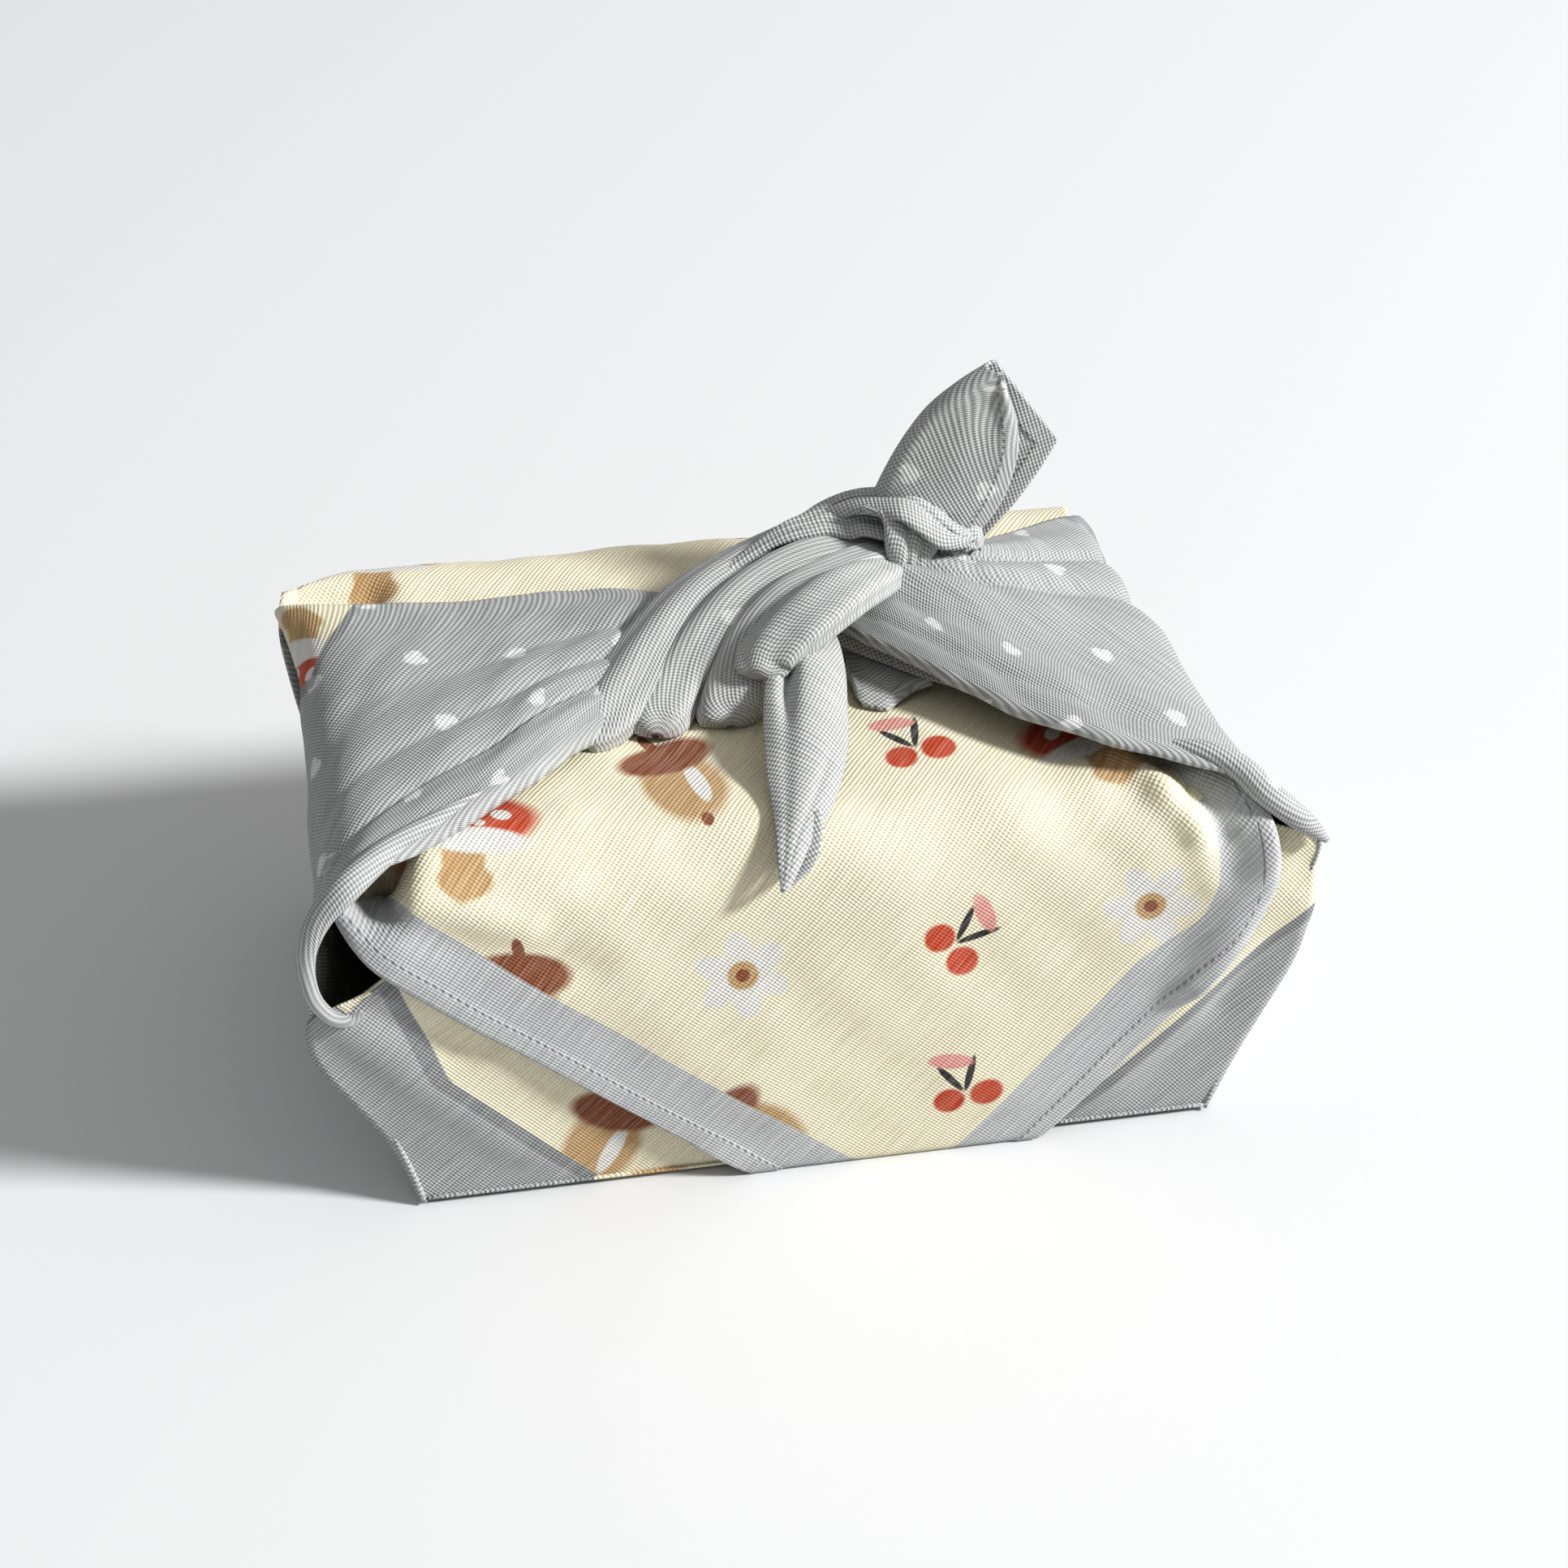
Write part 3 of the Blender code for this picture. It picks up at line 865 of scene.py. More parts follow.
@dataclass(frozen=True)
class Fold(ClothPart):
    """A gathered fold of the knot: a sheet arched over a line.

    Across the line it follows an arc of the given spread, with finer pleats whose
    ridges run lengthways, so a row's points are side * width * sin a + up * height * cos a.

    Args:
        name: the piece's name.
        rows: x, y, z, half width and height of the arch at each station.
        spread: how far the arc reaches to each side, in radians.
        fine: how many fine pleats it has, and how deep they are.
        grain: how the weave is turned, in radians.
        seed: picks its unevenness.
        rounded: the share of its length over which an end closes.
        closed: how far an end closes.
        wander: how far the fine pleats stray on their way.
        wave: height and length of its unevenness.
        widened: how much wider the arch is than its table.
        flattened: how much lower the arch is than its table.
        plain: whether it is free of hearts.
    """

    name: str
    rows: tuple[Row, ...]
    spread: float = 2.3
    fine: tuple[float, float] = (2.5, 0.075)
    grain: float = 0.9
    seed: int = 1
    rounded: float = 0.06
    widened: float = 1.16
    flattened: float = 0.8
    wander: float = 0.8
    wave: Span = (0.04, 26.0)
    closed: float = 0.96
    flat_start: float = -220.0
    plain: bool = True
    hold: Hold = Hold.GATHERED
    rests_on: tuple[str, ...] = ("front_flap",)
    steps: tuple[int, int] = (110, 48)

    def patch(self) -> Patch:
        """Works out the fold.

        Returns:
            The patch.
        """
        table = smooth_rows(self.rows, self.steps[0])
        line = table[:, :3]
        along = unit(np.gradient(line, axis=0))
        side = unit(np.cross(along, [0.0, 0.0, 1.0]))
        up = np.cross(side, along)
        arc = np.linspace(-self.spread, self.spread, self.steps[1])[None, :]
        t = np.linspace(0, 1, self.steps[0])[:, None]
        count, depth = self.fine
        phase = self.seed * 1.7 + self.wander * np.sin(3.0 * t + self.seed)
        swell = 1 + depth * np.sin(count * 2 * arc + phase)
        swell = swell + unevenness(t * 60, arc * 8, [(*self.wave, 40 + self.seed)])
        near_end = np.clip(np.minimum(t, 1 - t) / self.rounded, 0, 1)
        swell = swell * np.sqrt(1 - (1 - near_end) ** 2 * self.closed)
        wide = np.sin(arc) * swell * table[:, 3:4] * self.widened
        high = np.cos(arc) * swell * table[:, 4:5] * self.flattened
        points = line[:, None] + side[:, None] * wide[..., None] + up[:, None] * high[..., None]
        u, v = run_length(points, 0), run_length(points, 1)
        flat = turned(u, v, self.grain) * [-1.0, 1.0] + [self.flat_start, 0.0]
        return in_knot(points, flat, np.full_like(u, PLAIN if self.plain else AWAY))


KNOT_FOLDS: tuple[Fold, ...] = (
    Fold(
        "rope_fold_back",
        (
            # x, y, z, half width, height
            (-44.8, -16.0, 90.0, 3.2, 2.6),
            (-40.2, -13.8, 91.0, 5.2, 4.2),
            (-33.8, -6.0, 93.0, 6.2, 5.0),
            (-26.5, 3.0, 96.0, 6.6, 5.4),
            (-16.4, 13.0, 99.5, 6.2, 5.4),
            (-6.3, 19.5, 102.5, 5.4, 5.0),
            (2.1, 23.0, 105.0, 4.4, 4.4),
            (10.1, 24.5, 107.5, 3.6, 3.6),
            (17.0, 25.0, 107.0, 3.0, 3.0),
        ),
        seed=1,
        grain=0.95,
    ),
    Fold(
        "rope_fold_middle",
        (
            (-28.8, -17.5, 90.0, 3.4, 2.4),
            (-27.2, -12.8, 91.0, 5.0, 4.2),
            (-22.0, -4.5, 93.5, 5.6, 5.4),
            (-15.2, 2.5, 97.5, 5.8, 6.0),
            (-7.4, 8.5, 101.5, 5.8, 6.0),
            (1.1, 13.5, 104.5, 5.2, 5.4),
            (10.0, 16.5, 107.0, 4.4, 4.6),
            (18.8, 18.5, 108.0, 3.6, 3.8),
            (26.0, 19.5, 107.0, 3.0, 3.0),
        ),
        seed=2,
        grain=0.9,
        plain=False,
    ),
    Fold(
        "rope_fold_front",
        (
            (-13.1, -17.0, 90.3, 4.6, 2.6),
            (-12.7, -13.8, 92.2, 5.8, 4.6),
            (-10.0, -8.5, 95.5, 6.0, 5.6),
            (-4.7, -2.0, 100.0, 5.8, 6.0),
            (3.0, 3.4, 104.5, 5.4, 5.6),
            (12.1, 7.5, 107.5, 4.6, 4.6),
            (20.5, 11.5, 108.0, 4.0, 4.0),
            (27.0, 15.5, 106.5, 3.2, 3.2),
        ),
        seed=3,
        grain=0.85,
    ),
    Fold(
        "highlight_fold",
        (
            (26.5, 13.0, 104.5, 3.0, 3.0),
            (22.0, 6.6, 107.6, 4.2, 4.0),
            (14.3, 0.2, 109.5, 5.6, 4.6),
            (6.6, -4.7, 108.0, 6.2, 4.8),
            (-0.2, -8.2, 105.0, 6.2, 4.8),
            (-4.6, -11.6, 102.0, 5.2, 4.0),
            (-6.0, -14.8, 99.6, 3.6, 2.8),
        ),
        seed=4,
        grain=-0.6,
    ),
)


@dataclass(frozen=True)
class FrontTail(ClothPart):
    """The free end that hangs to the front: a leaf folded along a valley.

    Across it, q runs from -1 at the left edge to 1 at the right one, and the leaf's
    height is cup * (0.5 - q^2) less a valley at q = valley_at, which fades out on the
    way down, and less a slight slanting crease near the tip.
    """

    name: str = "front_tail"
    rests_on: tuple[str, ...] = ("front_flap",)
    steps: tuple[int, int] = (130, 44)
    across_way: tuple[float, float, float] = (1.0, 0.12, 0.0)
    full_width: float = 8.0
    long: float = 70.0
    broad: float = 9.0
    valley_at: float = -0.42
    valley: float = 3.4
    valley_width: float = 0.2
    valley_fades: Span = (0.22, 0.5)
    valley_share: float = 0.85
    valley_strays: float = 0.1
    crease: float = 0.5
    crease_at: Span = (1.3, -0.1)
    crease_width: float = 0.14
    crease_from: Span = (0.4, 0.6)
    uneven: Waves = ((0.18, 17.0, 51),)
    grain: float = math.radians(20)
    rows: tuple[Row, ...] = (
        # x, y, z, half width, cup
        (4.5, -2.0, 102.0, 6.0, 1.5),
        (4.0, -8.0, 102.5, 7.2, 2.5),
        (3.0, -15.0, 101.6, 8.0, 3.4),
        (1.7, -22.0, 99.8, 8.4, 3.8),
        (0.2, -31.0, 97.0, 8.5, 3.8),
        (-1.6, -39.0, 94.5, 7.6, 3.2),
        (-3.6, -46.5, 92.0, 6.0, 2.4),
        (-6.2, -53.5, 89.5, 3.6, 1.5),
        (-8.2, -58.6, 85.9, 2.0, 0.8),
        (-9.6, -61.2, 81.8, 0.7, 0.3),
    )

    def patch(self) -> Patch:
        """Works out the leaf.

        Returns:
            The patch.
        """
        table = smooth_rows(self.rows, self.steps[0])
        line = table[:, None, :3]
        along = unit(np.gradient(table[:, :3], axis=0))
        across_way = np.array(self.across_way)
        side = unit(across_way - along * (along @ across_way)[:, None])[:, None]
        up = np.cross(side, along[:, None])
        up = up * np.sign(up[..., 2:3].mean())
        q = np.linspace(-1, 1, self.steps[1])[None, :]
        t = np.linspace(0, 1, self.steps[0])[:, None]
        size = table[:, 3:4] / self.full_width
        lift = table[:, 4:5] * (0.5 - q**2)
        dip = np.exp(-(((q - self.valley_at + self.valley_strays * t) / self.valley_width) ** 2))
        faded = 1 - self.valley_share * step_up(t, *self.valley_fades)
        lift = lift - self.valley * size * dip * faded
        at_top, at_tip = self.crease_at
        crease = np.exp(-(((q - at_top - (at_tip - at_top) * t) / self.crease_width) ** 2))
        lift = lift - self.crease * size * crease * step_up(t, *self.crease_from)
        lift = lift + unevenness(t * self.long, q * self.broad, self.uneven)
        points = line + side * (q * table[:, 3:4])[..., None] + up * lift[..., None]
        u, v = run_length(points, 0), run_length(points, 1)
        from_tip = u[-1:, :] - u
        flat = turned(from_tip - CLOTH.reach, v - v[:, -1:] / 2, self.grain)
        return in_knot(points, flat, np.full_like(u, PLAIN))


@dataclass(frozen=True)
class BackTail(ClothPart):
    """The free end that stands up behind the knot: a corner folded along one side.

    Columns run from the rear hem to the fold, round it and on to the front hem. Its
    base is set back, so that the knot's crossing lies in front of it.
    """

    name: str = "back_tail"
    rests_on: tuple[str, ...] = ("front_flap",)
    y: float = 18.0
    apart: float = 2.4
    belly: float = 3.2
    turn_steps: int = 9
    ridge: float = 1.4
    ridge_at: float = 0.2
    base_shift: tuple[float, float, float] = (1.6, 4.0, -7.0)
    uneven: Waves = ((0.25, 15.0, 61),)
    flat_start: float = 300.0
    tints: Span = (0.6, 1.0)
    steps: tuple[int, int] = (90, 34)
    rows: tuple[Row, ...] = (
        # rear x, z, fold x, z, front x, z
        (43.0, 103.0, 19.5, 113.0, 38.0, 107.0),
        (46.0, 106.5, 21.5, 118.5, 42.0, 111.5),
        (50.0, 110.5, 24.0, 125.0, 46.5, 114.5),
        (54.6, 115.3, 28.2, 132.5, 50.4, 120.5),
        (58.4, 120.8, 33.6, 140.0, 52.6, 129.0),
        (61.2, 125.4, 40.0, 145.3, 52.2, 137.0),
        (63.0, 128.6, 46.4, 149.0, 49.2, 145.2),
    )

    def patch(self) -> Patch:
        """Works out the folded corner.

        Returns:
            The patch.
        """
        table = smooth_rows(self.rows, self.steps[0])
        rear, fold, front = (table[:, None, k : k + 2] for k in (0, 2, 4))
        turn = np.linspace(-math.pi / 2, math.pi / 2, self.turn_steps)[None, :, None]
        count = self.steps[1]
        p = np.linspace(0, 1, count, endpoint=False)[None, :, None]
        start = fold + np.array([self.apart, 0.0])
        behind, before = rear + (start - rear) * p, front + (start - front) * p
        round_x = start[..., :1] - self.apart * np.cos(turn)
        round_z = np.repeat(fold[..., 1:], self.turn_steps, axis=1)
        middle = np.concatenate([round_x, round_z], axis=-1)
        x, z = np.moveaxis(np.concatenate([behind, middle, before[:, ::-1]], axis=1), -1, 0)
        bulge = np.sin(math.pi * p[0, :, 0])
        t = np.linspace(0, 1, len(table))[:, None]
        rear_y = self.apart + 0.5 * self.belly * bulge[None] * (1 - t)
        front_y = -self.apart - self.belly * bulge[None, ::-1] * (1.1 - t)
        from_ridge = (p[..., 0][:, ::-1] - self.ridge_at) / self.ridge_at
        front_y = front_y - self.ridge * np.exp(-(from_ridge**2)) * t
        round_y = np.repeat(-self.apart * np.sin(turn[..., 0]), len(table), axis=0)
        y = self.y + np.concatenate([rear_y, round_y, front_y], axis=1)
        y = y + unevenness(x, z, self.uneven)
        base = (1 - t)[..., None] ** 2 * self.base_shift
        points = np.stack([x, y, z], axis=-1) + base
        across = run_length(points, 1)
        down = run_length(points, 0)
        tip = down[-1:] - down
        rear_hem, front_hem = across, across[:, -1:] - across
        in_front = across > across[:, -1:] / 2
        edge = np.minimum(np.minimum(rear_hem, front_hem), tip + AWAY * in_front)
        flat = np.stack([self.flat_start + down, across], axis=-1)
        columns = np.arange(points.shape[1])[None, :]
        inside = (columns < count) * np.ones((len(table), 1))
        outer, inner = self.tints
        tint = outer + (inner - outer) * inside
        return Patch(points, flat, edge, np.full_like(edge, -AWAY), tint)


@dataclass(frozen=True)
class Strip(ClothPart):
    """A small sheet between two lines: a strand or loop of the knot, or a hem under it.

    Args:
        name: the piece's name.
        rows: x, y, z on its near side, then on its far side.
        swell: how high its middle arches.
        fullness: the arch's power, lower for a flatter top with steeper sides.
        pleats: place at the start, place at the end, width, height.
        grain: how the weave is turned, in radians.
        hem_side: whether its near side is a hem.
    """

    name: str
    rows: tuple[Row, ...]
    swell: float = 1.0
    fullness: float = 1.0
    pleats: tuple[Row, ...] = ()
    grain: float = 0.5
    hem_side: bool = False
    wave: Span = (0.15, 12.0)
    flat_start: float = 250.0
    hem_in: float = 0.2
    hold: Hold = Hold.GATHERED
    rests_on: tuple[str, ...] = ("front_flap",)
    steps: tuple[int, int] = (80, 24)

    def patch(self) -> Patch:
        """Works out the strip.

        Returns:
            The patch.
        """
        near, far = np.hsplit(smooth_rows(self.rows, self.steps[0]), 2)
        p = np.linspace(0, 1, self.steps[1])[None, :, None]
        points = near[:, None] + (far - near)[:, None] * p
        normal = grid_normal(points)
        normal *= np.sign(normal[..., 2:3].mean())
        t = np.linspace(0, 1, self.steps[0])[:, None, None]
        arch = np.clip(np.sin(math.pi * p), 0, 1) ** self.fullness
        lift = self.swell * arch + np.zeros_like(t)
        for p_start, p_end, width, height in self.pleats:
            middle = p_start + (p_end - p_start) * t
            lift = lift + height * np.exp(-(((p - middle) / width) ** 2)) * arch
        waves = [(*self.wave, len(self.name))]
        uneven = unevenness(points[..., :1], points[..., 1:2], waves)
        points = points + normal * (lift + arch * uneven)
        u, v = run_length(points, 0), run_length(points, 1)
        flat = turned(u, v, self.grain, self.flat_start)
        return in_knot(points, flat, v + self.hem_in if self.hem_side else np.full_like(u, PLAIN))


STRIPS: tuple[Strip, ...] = (
    Strip(
        "under_fold",
        (
            # near x, y, z, far x, y, z
            (12.2, 4.3, 93.5, 15.0, 12.0, 98.0),
            (17.4, -1.0, 93.2, 21.0, 7.0, 97.5),
            (22.0, -5.0, 93.0, 26.0, 3.0, 97.2),
            (26.4, -8.9, 92.8, 30.0, -1.0, 97.0),
            (32.4, -13.7, 92.8, 36.0, -6.0, 96.6),
            (38.4, -18.0, 92.8, 42.0, -11.0, 96.2),
            (44.2, -22.5, 93.0, 47.5, -17.0, 95.6),
        ),
        swell=1.2,
        grain=0.2,
    ),
    Strip(
        "hem_end",
        (
            (14.4, -4.0, 90.5, 14.4, 3.0, 91.5),
            (14.6, -9.0, 90.0, 16.0, 1.8, 91.6),
            (15.0, -13.6, 89.8, 17.7, 0.4, 91.8),
            (17.3, -15.4, 89.8, 20.0, -1.9, 92.0),
            (19.8, -16.7, 89.8, 22.5, -4.3, 92.0),
            (22.0, -15.2, 89.9, 24.6, -6.5, 91.9),
            (25.7, -12.2, 90.4, 27.2, -8.9, 91.8),
            (30.4, -11.3, 91.5, 30.6, -10.9, 91.7),
        ),
        swell=0.6,
        hem_side=True,
        grain=1.2,
    ),
    Strip(
        "strand_behind",
        (
            (-15.0, 12.0, 102.0, -14.0, 14.5, 101.5),
            (-7.0, 16.5, 105.4, -6.0, 19.5, 105.0),
            (0.5, 18.4, 108.6, 1.5, 23.0, 108.6),
            (5.5, 18.4, 110.4, 5.5, 24.2, 110.8),
            (9.4, 18.0, 111.2, 9.6, 25.0, 112.3),
            (13.7, 17.6, 111.6, 13.4, 26.0, 114.3),
            (18.0, 15.6, 111.4, 17.8, 27.0, 115.4),
            (20.7, 14.5, 112.5, 22.0, 27.0, 116.2),
            (24.5, 12.5, 112.3, 27.1, 26.0, 116.7),
        ),
        swell=1.6,
        fullness=0.5,
        pleats=((0.3, 0.28, 0.06, -0.7), (0.6, 0.62, 0.07, -0.6)),
        grain=0.75,
    ),
    Strip(
        "crossing_behind",
        (
            (31.5, 17.5, 115.2, 33.0, 26.0, 115.5),
            (34.2, 15.0, 114.2, 38.5, 24.2, 113.2),
            (36.6, 12.6, 112.6, 42.8, 22.0, 111.4),
            (38.8, 11.2, 111.2, 46.0, 19.0, 110.6),
            (40.6, 10.8, 109.8, 46.5, 15.5, 108.0),
            (41.9, 10.6, 108.8, 45.2, 12.5, 107.6),
        ),
        swell=1.5,
        fullness=0.5,
        pleats=((0.5, 0.5, 0.09, -0.8),),
        grain=0.2,
    ),
    Strip(
        "short_loop",
        (
            (20.1, 17.0, 117.4, 32.5, 17.0, 116.0),
            (23.1, 14.0, 118.2, 34.5, 14.5, 113.5),
            (24.2, 12.0, 116.9, 35.8, 12.5, 111.0),
            (24.2, 10.5, 114.3, 35.4, 11.5, 109.2),
            (24.8, 10.0, 110.2, 33.6, 11.0, 107.1),
            (25.9, 10.5, 104.0, 31.8, 11.5, 103.6),
        ),
        swell=2.4,
        fullness=0.55,
        pleats=((0.32, 0.45, 0.07, -0.8), (0.7, 0.6, 0.08, -0.7)),
        grain=1.0,
    ),
    Strip(
        "crossing_over",
        (
            (10.0, 22.0, 109.4, 10.4, 25.5, 109.0),
            (13.6, 21.5, 112.0, 14.2, 26.4, 112.0),
            (19.7, 17.6, 116.2, 20.3, 26.0, 115.4),
            (24.5, 13.0, 117.9, 26.2, 24.0, 117.4),
            (27.5, 10.0, 118.4, 31.8, 21.0, 118.6),
            (30.8, 8.0, 116.4, 35.2, 17.0, 117.2),
            (34.8, 7.0, 113.1, 38.8, 13.5, 115.0),
            (38.6, 8.0, 111.6, 41.0, 12.0, 112.8),
            (42.1, 9.0, 111.0, 42.8, 11.0, 110.6),
        ),
        swell=2.2,
        fullness=0.5,
        pleats=((0.42, 0.58, 0.06, -0.8), (0.75, 0.84, 0.05, -0.5)),
        grain=0.6,
    ),
    Strip(
        "tail_hem",
        (
            (-8.0, -46.5, 88.6, -0.4, -50.0, 91.8),
            (-9.2, -50.5, 86.3, -0.9, -54.4, 88.6),
            (-9.6, -55.0, 82.5, -3.2, -58.0, 84.6),
            (-9.6, -59.5, 79.8, -8.8, -60.6, 81.2),
        ),
        swell=0.7,
        fullness=0.6,
        grain=0.3,
    ),
)


@dataclass(frozen=True)
class Lip(ClothPart):
    """The rolled lip of an ear: a thin tube of cloth that turns round the opening."""

    name: str
    rows: tuple[Row, ...]
    sides: int = 20
    steps: int = 120
    gap: float = 0.12
    flat_start: float = -150.0
    grain: float = 0.7
    tint: float = 0.3
    hold: Hold = Hold.FOLDED
    rests_on: tuple[str, ...] = ("near_panel",)

    def patch(self) -> Patch:
        """Works out the tube, left open by a hair along its back.

        Returns:
            The patch.
        """
        table = smooth_rows(self.rows, self.steps)
        line = table[:, :3]
        along = unit(np.gradient(line, axis=0))
        side = unit(np.cross(along, [0.0, 1.0, 0.0]))
        up = np.cross(side, along)
        turn = np.linspace(self.gap, 2 * math.pi - self.gap, self.sides)[None, :, None]
        turn = turn + math.pi / 2
        ring = side[:, None] * np.cos(turn) + up[:, None] * np.sin(turn)
        points = line[:, None] + ring * table[:, None, 3:4]
        u, v = run_length(points, 0), run_length(points, 1)
        flat_u, flat_v = self.flat_start - self.grain * (u + v), self.grain * (u - v)
        flat = np.stack([flat_u, flat_v], axis=-1)
        return in_knot(points, flat, np.full_like(u, AWAY), self.tint)


LEFT_LIP_ROWS: tuple[Row, ...] = (
    # x, y, z, radius
    (-66.0, -35.4, 94.0, 0.4),
    (-75.0, -40.8, 93.0, 1.3),
    (-84.0, -46.6, 92.0, 2.0),
    (-89.3, -51.4, 91.6, 2.4),
    (-94.7, -56.0, 90.0, 2.6),
    (-100.1, -57.0, 84.6, 2.3),
    (-103.3, -57.5, 77.6, 1.8),
    (-104.1, -57.5, 70.8, 1.45),
    (-103.2, -57.5, 64.0, 1.3),
    (-100.3, -57.5, 58.8, 1.2),
    (-96.8, -57.5, 57.2, 1.0),
    (-94.0, -57.0, 58.4, 0.4),
)
RIGHT_LIP_ROWS: tuple[Row, ...] = (
    (63.0, -38.4, 93.6, 0.4),
    (71.0, -43.4, 94.2, 1.1),
    (79.0, -47.0, 94.4, 1.8),
    (85.1, -50.0, 92.2, 2.3),
    (90.3, -54.2, 88.0, 2.5),
    (96.6, -56.0, 82.4, 2.2),
    (100.5, -56.4, 79.0, 1.4),
    (103.6, -56.5, 75.6, 0.4),
)


class Nodes:
    """Makes shader nodes in one tree with short calls."""

    def __init__(self, tree: bpy.types.NodeTree) -> None:
        """Keeps the tree.

        Args:
            tree: where the nodes go.
        """
        self.tree = tree

    def put(self, socket: bpy.types.NodeSocket, value: object) -> None:
        """Links or sets a socket.

        Args:
            socket: the input.
            value: an output socket to link, or a plain value.
        """
        if isinstance(value, bpy.types.NodeSocket):
            self.tree.links.new(value, socket)
        else:
            socket.default_value = value

    def math(self, operation: str, *values: object) -> bpy.types.NodeSocket:
        """Adds a math node.

        Args:
            operation: what it works out.
            values: its inputs.

        Returns:
            Its output.
        """
        node = self.tree.nodes.new("ShaderNodeMath")
        node.operation = operation
        for socket, value in zip(node.inputs, values):
            self.put(socket, value)
        return node.outputs[0]

    def vector(self, operation: str, *values: object) -> bpy.types.NodeSocket:
        """Adds a vector math node.

        Args:
            operation: what it works out.
            values: its inputs.

        Returns:
            Its vector output.
        """
        node = self.tree.nodes.new("ShaderNodeVectorMath")
        node.operation = operation
        for socket, value in zip(node.inputs, values):
            self.put(socket, value)
        return node.outputs[0]

    def scale(self, vector: object, factor: float) -> bpy.types.NodeSocket:
        """Multiplies a vector by a number.

        Args:
            vector: the vector.
            factor: the number.

        Returns:
            The scaled vector.
        """
        made = self.vector("SCALE", vector)
        made.node.inputs["Scale"].default_value = factor
        return made

    def split(self, vector: bpy.types.NodeSocket) -> tuple[bpy.types.NodeSocket, ...]:
        """Takes a vector apart.

        Args:
            vector: the vector.

        Returns:
            Its X, Y and Z.
        """
        node = self.tree.nodes.new("ShaderNodeSeparateXYZ")
        self.put(node.inputs[0], vector)
        return tuple(node.outputs)

    def join(self, x: object, y: object, z: object = 0.0) -> bpy.types.NodeSocket:
        """Puts a vector together.

        Args:
            x: its X.
            y: its Y.
            z: its Z.

        Returns:
            The vector.
        """
        node = self.tree.nodes.new("ShaderNodeCombineXYZ")
        for socket, value in zip(node.inputs, (x, y, z)):
            self.put(socket, value)
        return node.outputs[0]

    def ramp(self, value: object, low: float, high: float) -> bpy.types.NodeSocket:
        """Adds a clamped ramp from 0 at low to 1 at high.

        Args:
            value: where to read it.
            low: value that gives 0.
            high: value that gives 1.

        Returns:
            The ramp's output.
        """
        node = self.tree.nodes.new("ShaderNodeMapRange")
        for label, given in (("Value", value), ("From Min", low), ("From Max", high)):
            self.put(node.inputs[label], given)
        return node.outputs[0]

    def mix(self, factor: object, low: object, high: object) -> bpy.types.NodeSocket:
        """Mixes two colours.

        Args:
            factor: 0 for low, 1 for high.
            low: first colour.
            high: second colour.

        Returns:
            The mixed colour.
        """
        node = self.tree.nodes.new("ShaderNodeMix")
        node.data_type = "RGBA"
        for index, value in ((0, factor), (6, low), (7, high)):
            self.put(node.inputs[index], (*value, 1.0) if isinstance(value, tuple) else value)
        return node.outputs[2]

    def noise(self, vector: object, scale: float, detail: float) -> bpy.types.NodeSocket:
        """Adds a noise texture.

        Args:
            vector: where to read it.
            scale: its scale.
            detail: its detail.

        Returns:
            Its value.
        """
        node = self.tree.nodes.new("ShaderNodeTexNoise")
        self.put(node.inputs["Vector"], vector)
        self.put(node.inputs["Scale"], scale)
        self.put(node.inputs["Detail"], detail)
        return node.outputs[0]

    def ellipse(self, x: object, y: object, shape: Row, soft: float = 0.12) -> bpy.types.NodeSocket:
        """Adds the mask of a filled ellipse, 1 inside.

        With d the place's distance in units of the ellipse's radii, the mask falls from
        1 to 0 as d goes from 1 - soft to 1 + soft.

        Args:
            x: across, in millimetres.
            y: up, in millimetres.
            shape: middle x, middle y, radius x, radius y, and turn in radians.
            soft: how soft its edge is.

        Returns:
            The mask.
        """
        middle_x, middle_y, radius_x, radius_y, turn = shape
        dx, dy = self.math("SUBTRACT", x, middle_x), self.math("SUBTRACT", y, middle_y)
        c, s = math.cos(turn), math.sin(turn)
        along = self.math("MULTIPLY_ADD", dx, c / radius_x, self.math("MULTIPLY", dy, s / radius_x))
        over = self.math("MULTIPLY_ADD", dy, c / radius_y, self.math("MULTIPLY", dx, -s / radius_y))
        squares = self.math("MULTIPLY_ADD", along, along, self.math("MULTIPLY", over, over))
        return self.ramp(self.math("SQRT", squares), 1 + soft, 1 - soft)

    def group(self, tree: bpy.types.NodeTree, **inputs: object) -> bpy.types.Node:
        """Adds a group.

        Args:
            tree: the group's tree.
            inputs: its inputs by name.

        Returns:
            The group node.
        """
        node = self.tree.nodes.new("ShaderNodeGroup")
        node.node_tree = tree
        for label, value in inputs.items():
            self.put(node.inputs[label], value)
        return node


def new_group(
    name: str, inputs: dict[str, str], outputs: dict[str, str]
) -> tuple[bpy.types.NodeTree, Nodes, bpy.types.Node, bpy.types.Node]:
    """Starts a node group.

    Args:
        name: its name.
        inputs: socket type by name.
        outputs: socket type by name.

    Returns:
        The tree, its node maker, its input node and its output node.
    """
    tree = bpy.data.node_groups.new(name, "ShaderNodeTree")
    for way, sockets in (("INPUT", inputs), ("OUTPUT", outputs)):
        for label, kind in sockets.items():
            tree.interface.new_socket(label, in_out=way, socket_type=kind)
    return tree, Nodes(tree), tree.nodes.new("NodeGroupInput"), tree.nodes.new("NodeGroupOutput")


VECTOR, FLOAT, COLOUR = "NodeSocketVector", "NodeSocketFloat", "NodeSocketColor"


